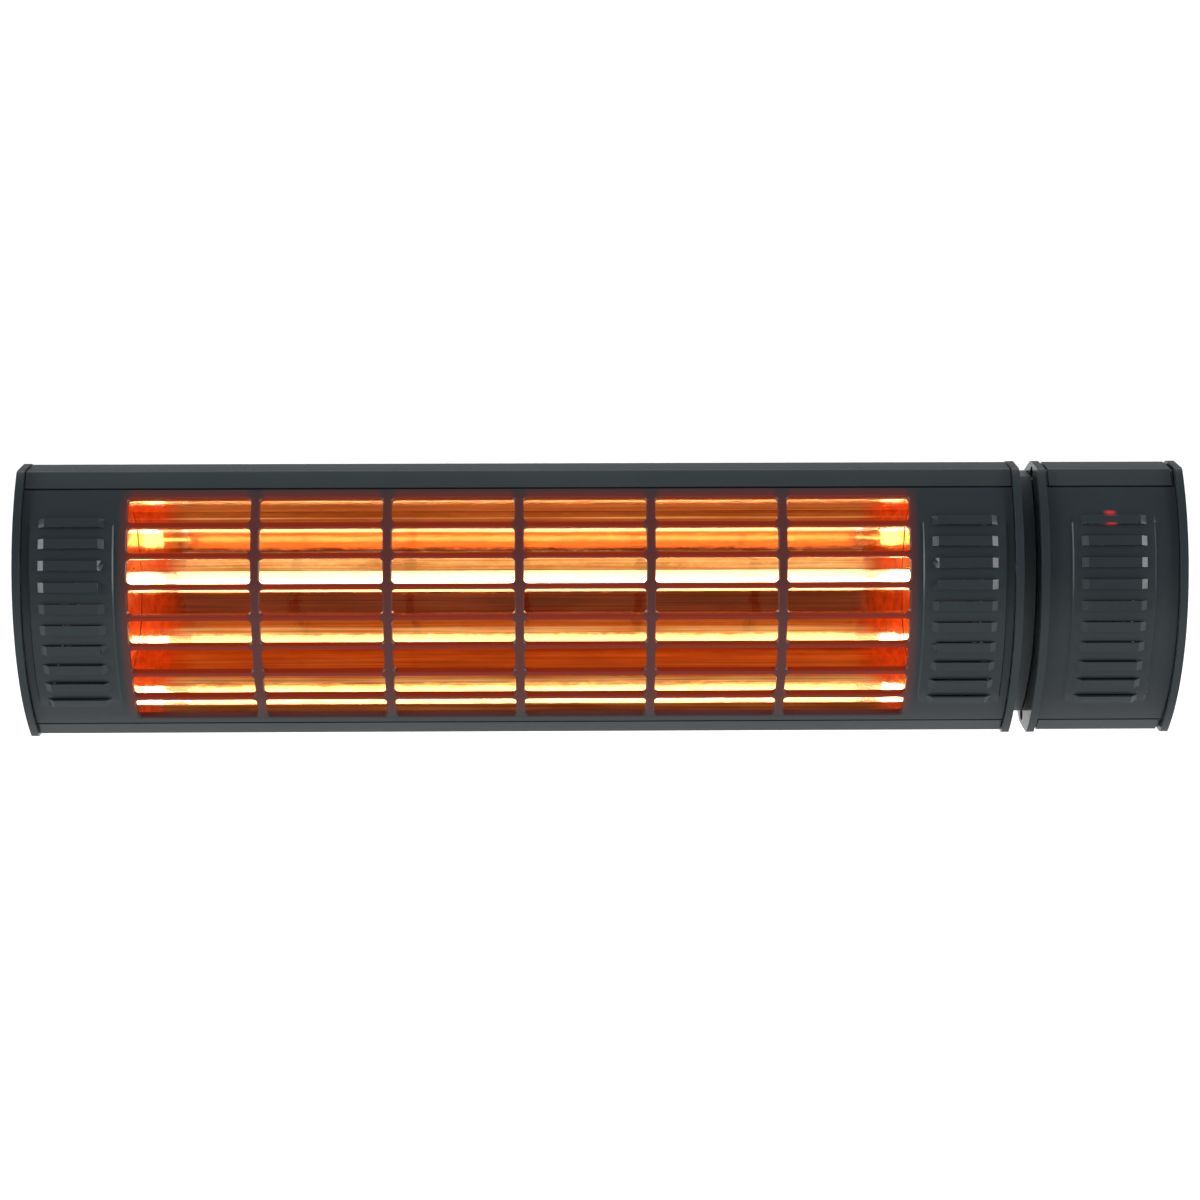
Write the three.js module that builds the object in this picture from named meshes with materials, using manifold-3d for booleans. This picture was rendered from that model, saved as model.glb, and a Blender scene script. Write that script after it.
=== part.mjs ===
// Wall-mounted electric bar heater: a quartz lamp in a polished trough behind a curved slotted
// grille, with a separate control box at its right end and a bracket that it tilts on.
// Millimetres. X runs to the right, -Y is the front, +Z is up. The origin is on the wall face of
// the bracket. The heater's own group has its origin on the axis of the curved front.

import * as THREE from 'three';
import { mergeVertices } from 'three/addons/utils/BufferGeometryUtils.js';
import Module from 'manifold-3d';

const wasm = await Module();
wasm.setup();

// ---------- driving dimensions ----------

const GAP = 0.3;                      // clearance between pieces that touch

// cross-section of the body, seen along X
const FRONT_RADIUS = 88;              // outer radius of the curved front
const LIP_END_ANGLE = 45.8;           // where the curve meets the top and bottom walls, degrees
const LIP_START_ANGLE = 39.8;         // edge of the housing's lip, degrees
const PLATE_EDGE_ANGLE = 39.2;        // edge of the front sheet, degrees
const TOP_WALL_DEPTH = 16;            // flat part of the top and bottom walls
const REAR_Y = 8;                     // rear face, behind the axis of the front
const REAR_HALF_HEIGHT = 36;
const SHELL_THICKNESS = 1.6;
const SHEET_THICKNESS = 1.2;          // front sheets
const LEDGE_THICKNESS = 1.3;          // step behind the front sheet's edge
const LEDGE_TIP_ANGLE = 37.3;
const LEDGE_ROOT_ANGLE = 42;
const SHELL_CORNER = 2.5;             // corner radii of the sections
const INNER_CORNER = 1;

// lengths along X
const BODY_HALF_WIDTH = 230;
const PLATE_THICKNESS = 3.5;          // end plates
const PLATE_PROUD = 2.5;              // how far a plate stands proud of the front sheet
const PLATE_WALL_STEP = 0.6;          // and of the walls behind it
const PLATE_CORNER = 4;
const NECK_WIDTH = 8.3;
const CONTROL_WIDTH = 66.9;

// guard slots
const SLOT_COLUMNS = 6;
const SLOT_ROWS = 8;
const SLOT_PITCH_X = 60.2;
const SLOT_WIDTH = 56;
const SLOT_PITCH_ANGLE = 9.34;        // degrees
const SLOT_HEIGHT = 11.6;
const SLOT_CORNER = 1.9;
const GUARD_DEPTH = 3.2;              // sheet plus the slots' turned-in edges
const GUARD_END_MARGIN = 1.5;         // beyond the last slots' pitch
const GUARD_EDGE_ANGLE = 37;

// vent panels with bridge louvres
const VENT_CENTRE_X = 203.5;
const VENT_WIDTH = 39;
const VENT_HALF_ANGLE = 31.8;
const VENT_RAISE = 0.8;
const LOUVRE_COUNT = 10;
const LOUVRE_PITCH_ANGLE = 6.35;
const LOUVRE_LENGTH = 30;
const LOUVRE_RAMP = 2.8;
const LOUVRE_HEIGHT = 4.4;
const LOUVRE_RISE = 2;
const LOUVRE_SHEET = 0.9;

// neck between the body and the control box
const NECK_RADIUS = 76;
const NECK_HALF_HEIGHT = 57;
const NECK_TOP_END_Y = -36;
const NECK_REAR_Y = 4;
const NECK_REAR_HALF_HEIGHT = 35.5;
const NECK_WALL = 3;
const NECK_BOSS_RADIUS = 4.4;
const NECK_SCREW_HEAD = { radius: 3.8, side: 2, crown: 2.8, crownRadius: 2.6 };
const NECK_SCREW_REACH = 3;           // how far its end passes the body's end plate

// lamp and reflector
const LAMP_Y = -20;
const TUBE_RADIUS = 5;
const TUBE_WALL = 0.9;
const TUBE_HALF_LENGTH = 194;
const COIL_HALF_LENGTH = 172;
const SUPPORT_PITCH = 54.3;
const SUPPORT_COUNT = 7;
const REFLECTOR_HALF_LENGTH = 186;
const REFLECTOR_SHEET = 0.8;
const REFLECTOR_FRONT_Y = -62;
const FLANGE_HALF_HEIGHT = 57;
// each facet: tilt of its normal from straight ahead, and its distance from the lamp
const REFLECTOR_FACETS = [
  { tilt: 14.6, distance: 22 },
  { tilt: 48, distance: 28.5 },
  { tilt: 72, distance: 33.4 },
];
const REFLECTOR_END_SHEET = 1;
const REFLECTOR_END_MARGIN = 0.5;
const REFLECTOR_END_FOOT = { length: 9, halfHeight: 18, startY: -8 };
const LAMP_HOLE_RADIUS = 7.2;
const LEAD_RADIUS = 0.5;              // straight ends of the filament
const COIL_RADIUS = 1.3;
const SUPPORT_RADIUS = 3.4;

// screw bosses in the housings, as [y, z] of the upper ones
const FRONT_BOSS = [-50, 58.4];
const REAR_BOSS = [3, 33.6];
const BOSS_RADIUS = 3.6;
const SCREW_RADIUS = 1.5;
const SCREW_HOLE_RADIUS = 1.8;
const SCREW_HEAD_RADIUS = 3.2;
const NECK_BOSS = [-38, 50.8];
const NECK_SCREW_RADIUS = 2;
const NECK_HOLE_RADIUS = 2.4;
const END_SCREW_LENGTH = 12;
const SCREW_SINK = 0.1;               // heads lie this far below the plate's face

// lamp caps, holders, clips and wires
const CAP_START_X = 189;
const CAP_END_X = 204;
const CAP_RADIUS = 6.5;
const HOLDER_START_X = 197;
const HOLDER_END_X = 213;
const HOLDER_HALF = 9;
const HOLDER_HALF_HEIGHT = 11;
const HOLDER_NOTCH_DEPTH = 5;
const CLIP_WIDTH = 12;
const CLIP_FOOT_LIP = 4;
const CLIP_HOLE_RADIUS = 1.8;
const CLIP_SHEET = 1.2;
const CLIP_FOOT_X = 219;
const WIRE_HOLE = [-16, -40];
const WIRE_HOLE_RADIUS = 5.5;
const WIRE_RADIUS = 1.5;
const WIRE_BEND = 4;
const WIRE_START_Z = -6;
const WIRE_OUTSIDE = 7;               // how far a wire leaves its holder before it bends
const LEFT_LANE = { y: -14, z: -39.5 };
const RIGHT_LANE = { y: -18.6, z: -40.6 };

// inside the control box
const GROOVE_WIDTH = 1.3;
const GROOVE_DEPTH = 0.9;
const BOARD_Y = -4;
const BOARD_THICKNESS = 1.6;
const BOARD_X = [246, 297];
const BOARD_HALF_HEIGHT = 29;
const POST_RADIUS = 3;
const POST_HOLE_RADIUS = 1.5;
const BOARD_HOLE_RADIUS = 1.8;
const BOARD_SCREW = { headRadius: 2.6, headHeight: 1.8, radius: 1.1, length: 7 };
const RELAY = { x: [276, 292], depth: 18, z: [2, 26] };
const POST_PLACES = [[250, 24], [293, -24]];
const TERMINAL_X = [250, 272];
const TERMINAL_DEPTH = 22;
const TERMINAL_BOTTOM_Z = -30;
const TERMINAL_TOP_Z = -16;
const TERMINAL_SCREW_X = [254, 261, 268];
const TERMINAL_SCREW_HOLE = { radius: 2, depth: 8, z: -23 };
const TERMINAL_WIRE_X = { left: 256, right: 264 };
const RECEIVER_Y = -66;
const RECEIVER_BODY = { left: 8, right: 2, depth: 5, z: [27, 46] };
const RECEIVER_FLANGE = { left: 12, right: 7, from: 4.5, to: 6, z: [24, 50] };
const LED_X = 270.6;
const LED_Z = 41.5;
const LED_PROFILE = [[0, 0], [2.9, 0], [2.9, 1], [2.5, 1], [2.5, 5], [1.8, 6.8], [0, 7.5]];
const GLAND_X = 286;
const GLAND_Z = -4;
const GLAND_THREAD_RADIUS = 7.4;
const GLAND_HEX = { acrossFlats: 20, height: 5 };
const GLAND_NECK = { radius: 6.6, end: 14 };
const GLAND_BORE_RADIUS = 4;
const DOME_NUT = { radius: 9.5, side: 8, length: 13, topRadius: 7, mouthRadius: 4.2, seat: 10 };

// tilt bracket
const PIVOT_BEHIND_REAR = 30;
const WALL_BEHIND_PIVOT = 40;
const PIVOT_Y = REAR_Y + PIVOT_BEHIND_REAR;
const WALL_Y = PIVOT_Y + WALL_BEHIND_PIVOT;
const BRACKET_SHEET = 3;
const EAR_OUTER_X = 123.5;
const WASHER_THICKNESS = 1.2;
const CHEEK_INNER_X = EAR_OUTER_X + WASHER_THICKNESS + 2 * GAP;
const BRACKET_HALF_HEIGHT = 25;
const WALL_SLOT_X = 80;
const EAR_SCREW_X = 106;
const EAR_SCREW_Z = 14;
const EAR_FOOT_X = 95;
const EAR_ROOT_HALF_HEIGHT = 22;
const EAR_END_RADIUS = 10;
const EAR_SCREW = { acrossFlats: 8, headHeight: 3.5, radius: 2.5, endY: 3.8, holeRadius: 2.9 };
const WALL_SLOT = { length: 16, height: 7, corner: 3.49 };
const BRACKET_CORNER = 2;
const CHEEK_END_RADIUS = 12;
const WASHER_RADIUS = 9;
const PIVOT_HEX = { acrossFlats: 13, headHeight: 5, nutHeight: 6 };
const PIVOT_BOLT_END_X = 112;
const PIVOT_HOLE_RADIUS = 4.2;
const PIVOT_BOLT_RADIUS = 3.8;

const ARC_STEP = SLOT_PITCH_ANGLE / 2;
const CONTROL_LEFT_X = BODY_HALF_WIDTH + NECK_WIDTH;
const CONTROL_RIGHT_X = CONTROL_LEFT_X + CONTROL_WIDTH;
const CONTROL_CENTRE_X = (CONTROL_LEFT_X + CONTROL_RIGHT_X) / 2;
const CONTROL_INNER_LEFT = CONTROL_LEFT_X + PLATE_THICKNESS + GAP;
const CONTROL_INNER_RIGHT = CONTROL_RIGHT_X - PLATE_THICKNESS - GAP;
const BODY_INNER_X = BODY_HALF_WIDTH - PLATE_THICKNESS;
const BOARD_FRONT_Y = BOARD_Y - BOARD_THICKNESS / 2 - GAP;

// ---------- finishes ----------

const FINISHES = {
  anthracite: { color: 0x3c4246, roughness: 0.35, metalness: 0.4 },
  darkNeck: { color: 0x232628, roughness: 0.5, metalness: 0.2 },
  polished: { color: 0xd9d9d6, roughness: 0.12, metalness: 1 },
  zinc: { color: 0xb4b6b8, roughness: 0.35, metalness: 1 },
  blackened: { color: 0x1b1c1e, roughness: 0.45, metalness: 0.7 },
  quartz: { color: 0xf0b45a, roughness: 0.05, metalness: 0 },
  tungsten: { color: 0xffe6b0, roughness: 0.5, metalness: 0.6 },
  ceramic: { color: 0xe9e4d8, roughness: 0.6, metalness: 0 },
  blackPlastic: { color: 0x17181a, roughness: 0.55, metalness: 0 },
  whitePlastic: { color: 0xd8d6cf, roughness: 0.5, metalness: 0 },
  greyPlastic: { color: 0x8c8f92, roughness: 0.4, metalness: 0 },
  circuitGreen: { color: 0x1f5b34, roughness: 0.4, metalness: 0 },
  redLens: { color: 0xd01818, roughness: 0.2, metalness: 0 },
  wireSleeve: { color: 0xc9c2ae, roughness: 0.8, metalness: 0 },
  fibre: { color: 0x6d5a45, roughness: 0.8, metalness: 0 },
};

function named(name, geometry, finish) {
  const mesh = new THREE.Mesh(geometry, new THREE.MeshStandardMaterial(FINISHES[finish]));
  mesh.name = name;
  return mesh;
}

// ---------- solids and booleans ----------

function toSolid(geometry) {
  const bare = geometry.clone();
  bare.deleteAttribute('normal');
  bare.deleteAttribute('uv');
  const merged = mergeVertices(bare, 1e-4);
  const data = {
    numProp: 3,
    vertProperties: new Float32Array(merged.attributes.position.array),
    triVerts: new Uint32Array(merged.index.array),
  };
  return new wasm.Manifold(new wasm.Mesh(data));
}

function toGeometry(solid) {
  const data = solid.getMesh();
  const geometry = new THREE.BufferGeometry();
  geometry.setAttribute('position', new THREE.BufferAttribute(data.vertProperties, 3));
  geometry.setIndex(new THREE.BufferAttribute(data.triVerts, 1));
  geometry.computeVertexNormals();
  return geometry;
}

function joined(geometries) {
  return geometries.map(toSolid).reduce((whole, piece) => whole.add(piece));
}

function cut(base, cutters) {
  return cutters.map(toSolid).reduce((whole, piece) => whole.subtract(piece), base);
}

// ---------- shapes ----------

const radians = THREE.MathUtils.degToRad;

function polar(radius, angle) {
  return new THREE.Vector2(-radius * Math.cos(radians(angle)), radius * Math.sin(radians(angle)));
}

function arc(radius, from, to, step = ARC_STEP) {
  const sign = Math.sign(to - from);
  const angles = [from];
  let next = sign * (Math.floor((sign * from) / step) + 1) * step;
  while (sign * (to - next) > step * 0.1) {
    if (sign * (next - from) > step * 0.1) angles.push(next);
    next += sign * step;
  }
  angles.push(to);
  return angles.map((angle) => polar(radius, angle));
}

// the same run of points below the axis
function below(points) {
  return points.map((point) => new THREE.Vector2(point.x, -point.y));
}

function backwards(points) {
  return points.slice().reverse();
}

// replaces a corner with a short arc that touches both of its sides
function roundedCorner(before, corner, after, radius, segments = 3) {
  const toBefore = before.clone().sub(corner).normalize();
  const toAfter = after.clone().sub(corner).normalize();
  const half = Math.acos(THREE.MathUtils.clamp(toBefore.dot(toAfter), -1, 1)) / 2;
  const bisector = toBefore.clone().add(toAfter).normalize();
  const centre = corner.clone().addScaledVector(bisector, radius / Math.sin(half));
  const start = corner.clone().addScaledVector(toBefore, radius / Math.tan(half)).sub(centre);
  const end = corner.clone().addScaledVector(toAfter, radius / Math.tan(half)).sub(centre);
  const sweep = Math.atan2(start.cross(end), start.dot(end));
  const points = [];
  for (let i = 0; i <= segments; i += 1) {
    const turned = start.clone().rotateAround(new THREE.Vector2(), (sweep * i) / segments);
    points.push(turned.add(centre));
  }
  return points;
}

// extrudes a (y, z) outline along X
function alongX(outline, fromX, toX, holes = []) {
  const shape = new THREE.Shape(outline);
  shape.holes = holes.map((hole) => new THREE.Path(hole));
  const geometry = new THREE.ExtrudeGeometry(shape, { depth: toX - fromX, bevelEnabled: false });
  const basis = new THREE.Matrix4().makeBasis(
    new THREE.Vector3(0, 1, 0), new THREE.Vector3(0, 0, 1), new THREE.Vector3(1, 0, 0));
  return geometry.applyMatrix4(basis).translate(fromX, 0, 0);
}

function circle(centre, radius, segments = 12) {
  const points = [];
  for (let i = 0; i < segments; i += 1) {
    const angle = (2 * Math.PI * i) / segments;
    points.push(new THREE.Vector2(
      centre[0] + radius * Math.cos(angle), centre[1] + radius * Math.sin(angle)));
  }
  return points;
}

function roundedRectangle(width, height, radius, segments = 2) {
  const x = width / 2;
  const y = height / 2;
  const corners = [[x, y], [-x, y], [-x, -y], [x, -y]].map(([u, v]) => new THREE.Vector2(u, v));
  return corners.flatMap((corner, i) => roundedCorner(
    corners[(i + 3) % 4], corner, corners[(i + 1) % 4], radius, segments));
}

function box(x0, x1, y0, y1, z0, z1) {
  const geometry = new THREE.BoxGeometry(x1 - x0, y1 - y0, z1 - z0);
  return geometry.translate((x0 + x1) / 2, (y0 + y1) / 2, (z0 + z1) / 2);
}

function rodX(radius, x0, x1, y, z, segments = 16) {
  const geometry = new THREE.CylinderGeometry(radius, radius, x1 - x0, segments);
  return geometry.rotateZ(Math.PI / 2).translate((x0 + x1) / 2, y, z);
}

function rodY(radius, y0, y1, x, z, segments = 16) {
  const geometry = new THREE.CylinderGeometry(radius, radius, y1 - y0, segments);
  return geometry.translate(x, (y0 + y1) / 2, z);
}

// turns a closed or axis-to-axis profile of [radius, x] about the X axis
function turnedX(profile, segments = 16) {
  const points = profile.map(([radius, x]) => new THREE.Vector2(radius, x));
  return new THREE.LatheGeometry(points, segments).rotateZ(-Math.PI / 2);
}

// turns a profile of [radius, y] about the Y axis
function turnedY(profile, segments = 16) {
  const points = profile.map(([radius, y]) => new THREE.Vector2(radius, y));
  return new THREE.LatheGeometry(points, segments);
}

function mirrorX(geometry) {
  const flipped = geometry.clone().scale(-1, 1, 1);
  const index = flipped.index.array;
  for (let i = 0; i < index.length; i += 3) {
    const kept = index[i];
    index[i] = index[i + 1];
    index[i + 1] = kept;
  }
  flipped.computeVertexNormals();
  return flipped;
}

// puts a piece drawn as (x, along the arc, outwards) on the curved front
function onFront(geometry, angle, radius, x) {
  const tangent = new THREE.Vector3(0, Math.sin(radians(angle)), Math.cos(radians(angle)));
  const outward = new THREE.Vector3(0, -Math.cos(radians(angle)), Math.sin(radians(angle)));
  const place = new THREE.Matrix4().makeBasis(new THREE.Vector3(1, 0, 0), tangent, outward);
  place.setPosition(new THREE.Vector3(x, 0, 0).addScaledVector(outward, radius));
  return geometry.applyMatrix4(place);
}

// ---------- the body's cross-section ----------

const HALF_HEIGHT = FRONT_RADIUS * Math.sin(radians(LIP_END_ANGLE));
const CORNER_Y = -FRONT_RADIUS * Math.cos(radians(LIP_END_ANGLE));
const TAPER_START = new THREE.Vector2(CORNER_Y + TOP_WALL_DEPTH, HALF_HEIGHT);
const TAPER_END = new THREE.Vector2(REAR_Y, REAR_HALF_HEIGHT);

function taperPoint(inset, height, y) {
  const along = TAPER_END.clone().sub(TAPER_START).normalize();
  const normal = new THREE.Vector2(-along.y, along.x);
  const level = normal.dot(TAPER_START) - inset;
  if (height !== null) return new THREE.Vector2((level - normal.y * height) / normal.x, height);
  return new THREE.Vector2(y, (level - normal.x * y) / normal.y);
}

// walls behind the curved front: corner, flat wall, taper and rear corner of the upper half
function rearWalls(frontInset, wallInset, cornerRadius) {
  const radius = FRONT_RADIUS - frontInset;
  const height = HALF_HEIGHT - wallInset;
  const cornerAngle = THREE.MathUtils.radToDeg(Math.asin(height / radius));
  const front = polar(radius, cornerAngle);
  const shoulder = taperPoint(wallInset, height, null);
  const rear = taperPoint(wallInset, null, REAR_Y - wallInset);
  const middle = new THREE.Vector2(rear.x, 0);
  const beforeFront = polar(radius, cornerAngle - ARC_STEP);
  return {
    cornerAngle,
    points: [
      ...roundedCorner(beforeFront, front, shoulder, cornerRadius),
      ...roundedCorner(front, shoulder, rear, 2 * cornerRadius),
      ...roundedCorner(shoulder, rear, middle, 2 * cornerRadius),
    ],
  };
}

function fullOutline(frontInset, wallInset, cornerRadius) {
  const walls = rearWalls(frontInset, wallInset, cornerRadius);
  const radius = FRONT_RADIUS - frontInset;
  const half = [...arc(radius, 0, walls.cornerAngle - ARC_STEP).slice(1), ...walls.points];
  return [polar(radius, 0), ...half, ...backwards(below(half))];
}

// C-shaped section, open where the front sheet sits
function shellOutline() {
  const outer = [
    polar(FRONT_RADIUS - SHEET_THICKNESS - GAP, LEDGE_TIP_ANGLE),
    polar(FRONT_RADIUS - SHEET_THICKNESS - GAP, LIP_START_ANGLE),
    polar(FRONT_RADIUS, LIP_START_ANGLE),
    ...rearWalls(0, 0, SHELL_CORNER).points,
  ];
  const ledgeRadius = FRONT_RADIUS - SHEET_THICKNESS - GAP - LEDGE_THICKNESS;
  const inner = [
    polar(ledgeRadius, LEDGE_TIP_ANGLE),
    polar(ledgeRadius, LEDGE_ROOT_ANGLE),
    polar(FRONT_RADIUS - SHELL_THICKNESS, LEDGE_ROOT_ANGLE),
    ...rearWalls(SHELL_THICKNESS, SHELL_THICKNESS, INNER_CORNER).points,
  ];
  return [...outer, ...backwards(below(outer)), ...below(inner), ...backwards(inner)];
}

const BOSSES = [FRONT_BOSS, REAR_BOSS].flatMap(([y, z]) => [[y, z], [y, -z]]);

function shellWithBosses(fromX, toX) {
  const bosses = BOSSES.map(([y, z]) => rodX(BOSS_RADIUS, fromX, toX, y, z, 10));
  const holes = BOSSES.map(([y, z]) => rodX(SCREW_HOLE_RADIUS, fromX - 1, toX + 1, y, z, 8));
  return cut(joined([alongX(shellOutline(), fromX, toX), ...bosses]), holes);
}

function frontStrip(innerRadius, outerRadius, halfAngle, fromX, toX, step = ARC_STEP) {
  const outer = arc(outerRadius, -halfAngle, halfAngle, step);
  const inner = arc(innerRadius, halfAngle, -halfAngle, step);
  return alongX([...outer, ...inner], fromX, toX);
}

// sheet and raised panel in flats as wide as one louvre's pitch
function ventSheet(fromX, toX) {
  return frontStrip(FRONT_RADIUS - SHEET_THICKNESS, FRONT_RADIUS, PLATE_EDGE_ANGLE, fromX, toX,
    LOUVRE_PITCH_ANGLE);
}

// ---------- vent panels ----------

function louvreAngle(row) {
  return (row - (LOUVRE_COUNT - 1) / 2) * LOUVRE_PITCH_ANGLE;
}

function louvrePrism(profile, height) {
  const shape = new THREE.Shape(profile.map(([u, w]) => new THREE.Vector2(u, w)));
  const geometry = new THREE.ExtrudeGeometry(shape, { depth: height, bevelEnabled: false });
  return geometry.rotateX(Math.PI / 2).translate(0, height / 2, 0);
}

function louvreStrap() {
  const foot = LOUVRE_LENGTH / 2;
  const top = foot - LOUVRE_RAMP;
  const root = -VENT_RAISE;
  const profile = [[-foot, root], [foot, root], [foot, 0], [top, LOUVRE_RISE], [-top, LOUVRE_RISE],
    [-foot, 0]];
  return louvrePrism(profile, LOUVRE_HEIGHT);
}

function louvreOpening() {
  const end = LOUVRE_LENGTH / 2 - LOUVRE_RAMP;
  const under = LOUVRE_RISE - LOUVRE_SHEET;
  const through = -2 * GUARD_DEPTH;
  const profile = [[-end, through], [end, through], [end, under], [-end, under]];
  return louvrePrism(profile, LOUVRE_HEIGHT + 2 * GAP);
}

function withVentPanel(sheet, centreX) {
  const panelRadius = FRONT_RADIUS + VENT_RAISE;
  const left = centreX - VENT_WIDTH / 2;
  const right = centreX + VENT_WIDTH / 2;
  let panel = sheet.add(toSolid(
    frontStrip(FRONT_RADIUS - SHEET_THICKNESS / 2, panelRadius, VENT_HALF_ANGLE, left, right,
      LOUVRE_PITCH_ANGLE)));
  for (let row = 0; row < LOUVRE_COUNT; row += 1) {
    const strap = onFront(louvreStrap(), louvreAngle(row), panelRadius, centreX);
    panel = panel.add(toSolid(strap));
  }
  for (let row = 0; row < LOUVRE_COUNT; row += 1) {
    const opening = onFront(louvreOpening(), louvreAngle(row), panelRadius, centreX);
    panel = panel.subtract(toSolid(opening));
  }
  return panel;
}

// ---------- heater body ----------

function housingShell() {
  const edge = BODY_INNER_X - GAP;
  const earHoles = EAR_SCREWS.map(([x, z]) => (
    rodY(EAR_SCREW.holeRadius, 0, REAR_Y + 1, x, z, 12)));
  const clipHoles = [-1, 1].map((side) => (
    rodY(CLIP_HOLE_RADIUS, 0, REAR_Y + 1, side * CLIP_FOOT_X, 0, 8)));
  return cut(shellWithBosses(-edge, edge), [...earHoles, ...clipHoles]);
}

function slotCutter(column, row) {
  const shape = new THREE.Shape(roundedRectangle(SLOT_WIDTH, SLOT_HEIGHT, SLOT_CORNER));
  const depth = 3 * GUARD_DEPTH;
  const geometry = new THREE.ExtrudeGeometry(shape, { depth, bevelEnabled: false });
  const angle = (row - (SLOT_ROWS - 1) / 2) * SLOT_PITCH_ANGLE;
  const x = (column - (SLOT_COLUMNS - 1) / 2) * SLOT_PITCH_X;
  return onFront(geometry, angle, FRONT_RADIUS - 2 * GUARD_DEPTH, x);
}

function frontGrille() {
  const edge = BODY_INNER_X - GAP;
  const guardHalfWidth = (SLOT_COLUMNS * SLOT_PITCH_X) / 2 + GUARD_END_MARGIN;
  const sheet = frontStrip(FRONT_RADIUS - SHEET_THICKNESS, FRONT_RADIUS, PLATE_EDGE_ANGLE,
    -guardHalfWidth, guardHalfWidth);
  const ends = [ventSheet(-edge, -guardHalfWidth + 1), ventSheet(guardHalfWidth - 1, edge)];
  const guard = frontStrip(FRONT_RADIUS - GUARD_DEPTH, FRONT_RADIUS - SHEET_THICKNESS / 2,
    GUARD_EDGE_ANGLE, -guardHalfWidth, guardHalfWidth);
  const slots = [];
  for (let row = 0; row < SLOT_ROWS; row += 1) {
    for (let column = 0; column < SLOT_COLUMNS; column += 1) slots.push(slotCutter(column, row));
  }
  const slotted = cut(joined([sheet, guard, ...ends]), slots);
  return withVentPanel(withVentPanel(slotted, -VENT_CENTRE_X), VENT_CENTRE_X);
}

// plate that stands proud of the sheet in front and slightly of the walls behind it
function endPlate(outerX, side, holes) {
  const outline = fullOutline(-PLATE_PROUD, -PLATE_WALL_STEP, PLATE_CORNER);
  const innerX = outerX - side * PLATE_THICKNESS;
  const plate = alongX(outline, Math.min(innerX, outerX), Math.max(innerX, outerX));
  const sinks = BOSSES.map(([y, z]) => countersink(outerX, side, y, z));
  return cut(toSolid(plate), [...sinks, ...holes]);
}

function countersink(outerX, side, y, z) {
  const depth = SCREW_HEAD_RADIUS + GAP - SCREW_HOLE_RADIUS;
  const profile = [
    [0, -PLATE_THICKNESS - 1], [SCREW_HOLE_RADIUS, -PLATE_THICKNESS - 1],
    [SCREW_HOLE_RADIUS, -depth], [SCREW_HEAD_RADIUS + GAP, 0], [SCREW_HEAD_RADIUS + GAP, 1], [0, 1],
  ];
  const cone = turnedX(profile, 8);
  if (side < 0) cone.rotateZ(Math.PI);
  return cone.translate(outerX, y, z);
}

function flatHeadScrew(outerX, side, y, z, length) {
  const headDepth = SCREW_HEAD_RADIUS - SCREW_RADIUS;
  const profile = [
    [0, -length], [SCREW_RADIUS, -length], [SCREW_RADIUS, -headDepth],
    [SCREW_HEAD_RADIUS, 0], [0, 0],
  ];
  const screw = turnedX(profile, 8);
  if (side < 0) screw.rotateZ(Math.PI);
  return screw.translate(outerX - side * SCREW_SINK, y, z);
}

function wireAndNeckHoles(x) {
  const reach = PLATE_THICKNESS + 1;
  const wires = rodX(WIRE_HOLE_RADIUS, x - reach, x + reach, WIRE_HOLE[0], WIRE_HOLE[1], 12);
  const screws = [1, -1].map((side) => (
    rodX(NECK_HOLE_RADIUS, x - reach, x + reach, NECK_BOSS[0], side * NECK_BOSS[1], 10)));
  return [wires, ...screws];
}

// ---------- neck ----------

function neckOutline(inset) {
  const radius = NECK_RADIUS - inset;
  const height = NECK_HALF_HEIGHT - inset;
  const cornerAngle = THREE.MathUtils.radToDeg(Math.asin(height / radius));
  const half = [
    ...arc(radius, 0, cornerAngle, 2 * ARC_STEP).slice(1),
    new THREE.Vector2(NECK_TOP_END_Y, height),
    new THREE.Vector2(NECK_REAR_Y - inset, NECK_REAR_HALF_HEIGHT - inset / 2),
  ];
  return [polar(radius, 0), ...half, ...backwards(below(half))];
}

function neckSpacer() {
  const left = BODY_HALF_WIDTH + GAP;
  const right = CONTROL_LEFT_X - GAP;
  const outer = alongX(neckOutline(0), left, right);
  const hollow = alongX(neckOutline(NECK_WALL), left - 1, right + 1);
  const places = [1, -1].map((side) => [NECK_BOSS[0], side * NECK_BOSS[1]]);
  const bosses = places.map(([y, z]) => toSolid(rodX(NECK_BOSS_RADIUS, left, right, y, z, 16)));
  const holes = places.map(([y, z]) => rodX(NECK_HOLE_RADIUS, left - 1, right + 1, y, z, 10));
  const ring = cut(toSolid(outer), [hollow]);
  return cut(bosses.reduce((whole, boss) => whole.add(boss), ring), holes);
}

function neckScrew(side) {
  const headStart = CONTROL_LEFT_X + PLATE_THICKNESS + GAP;
  const end = BODY_INNER_X - NECK_SCREW_REACH;
  const head = NECK_SCREW_HEAD;
  const profile = [
    [0, end], [NECK_SCREW_RADIUS, end], [NECK_SCREW_RADIUS, headStart],
    [head.radius, headStart], [head.radius, headStart + head.side],
    [head.crownRadius, headStart + head.crown], [0, headStart + head.crown],
  ];
  return turnedX(profile, 10).translate(0, NECK_BOSS[0], side * NECK_BOSS[1]);
}

// ---------- reflector and lamp ----------

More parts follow.
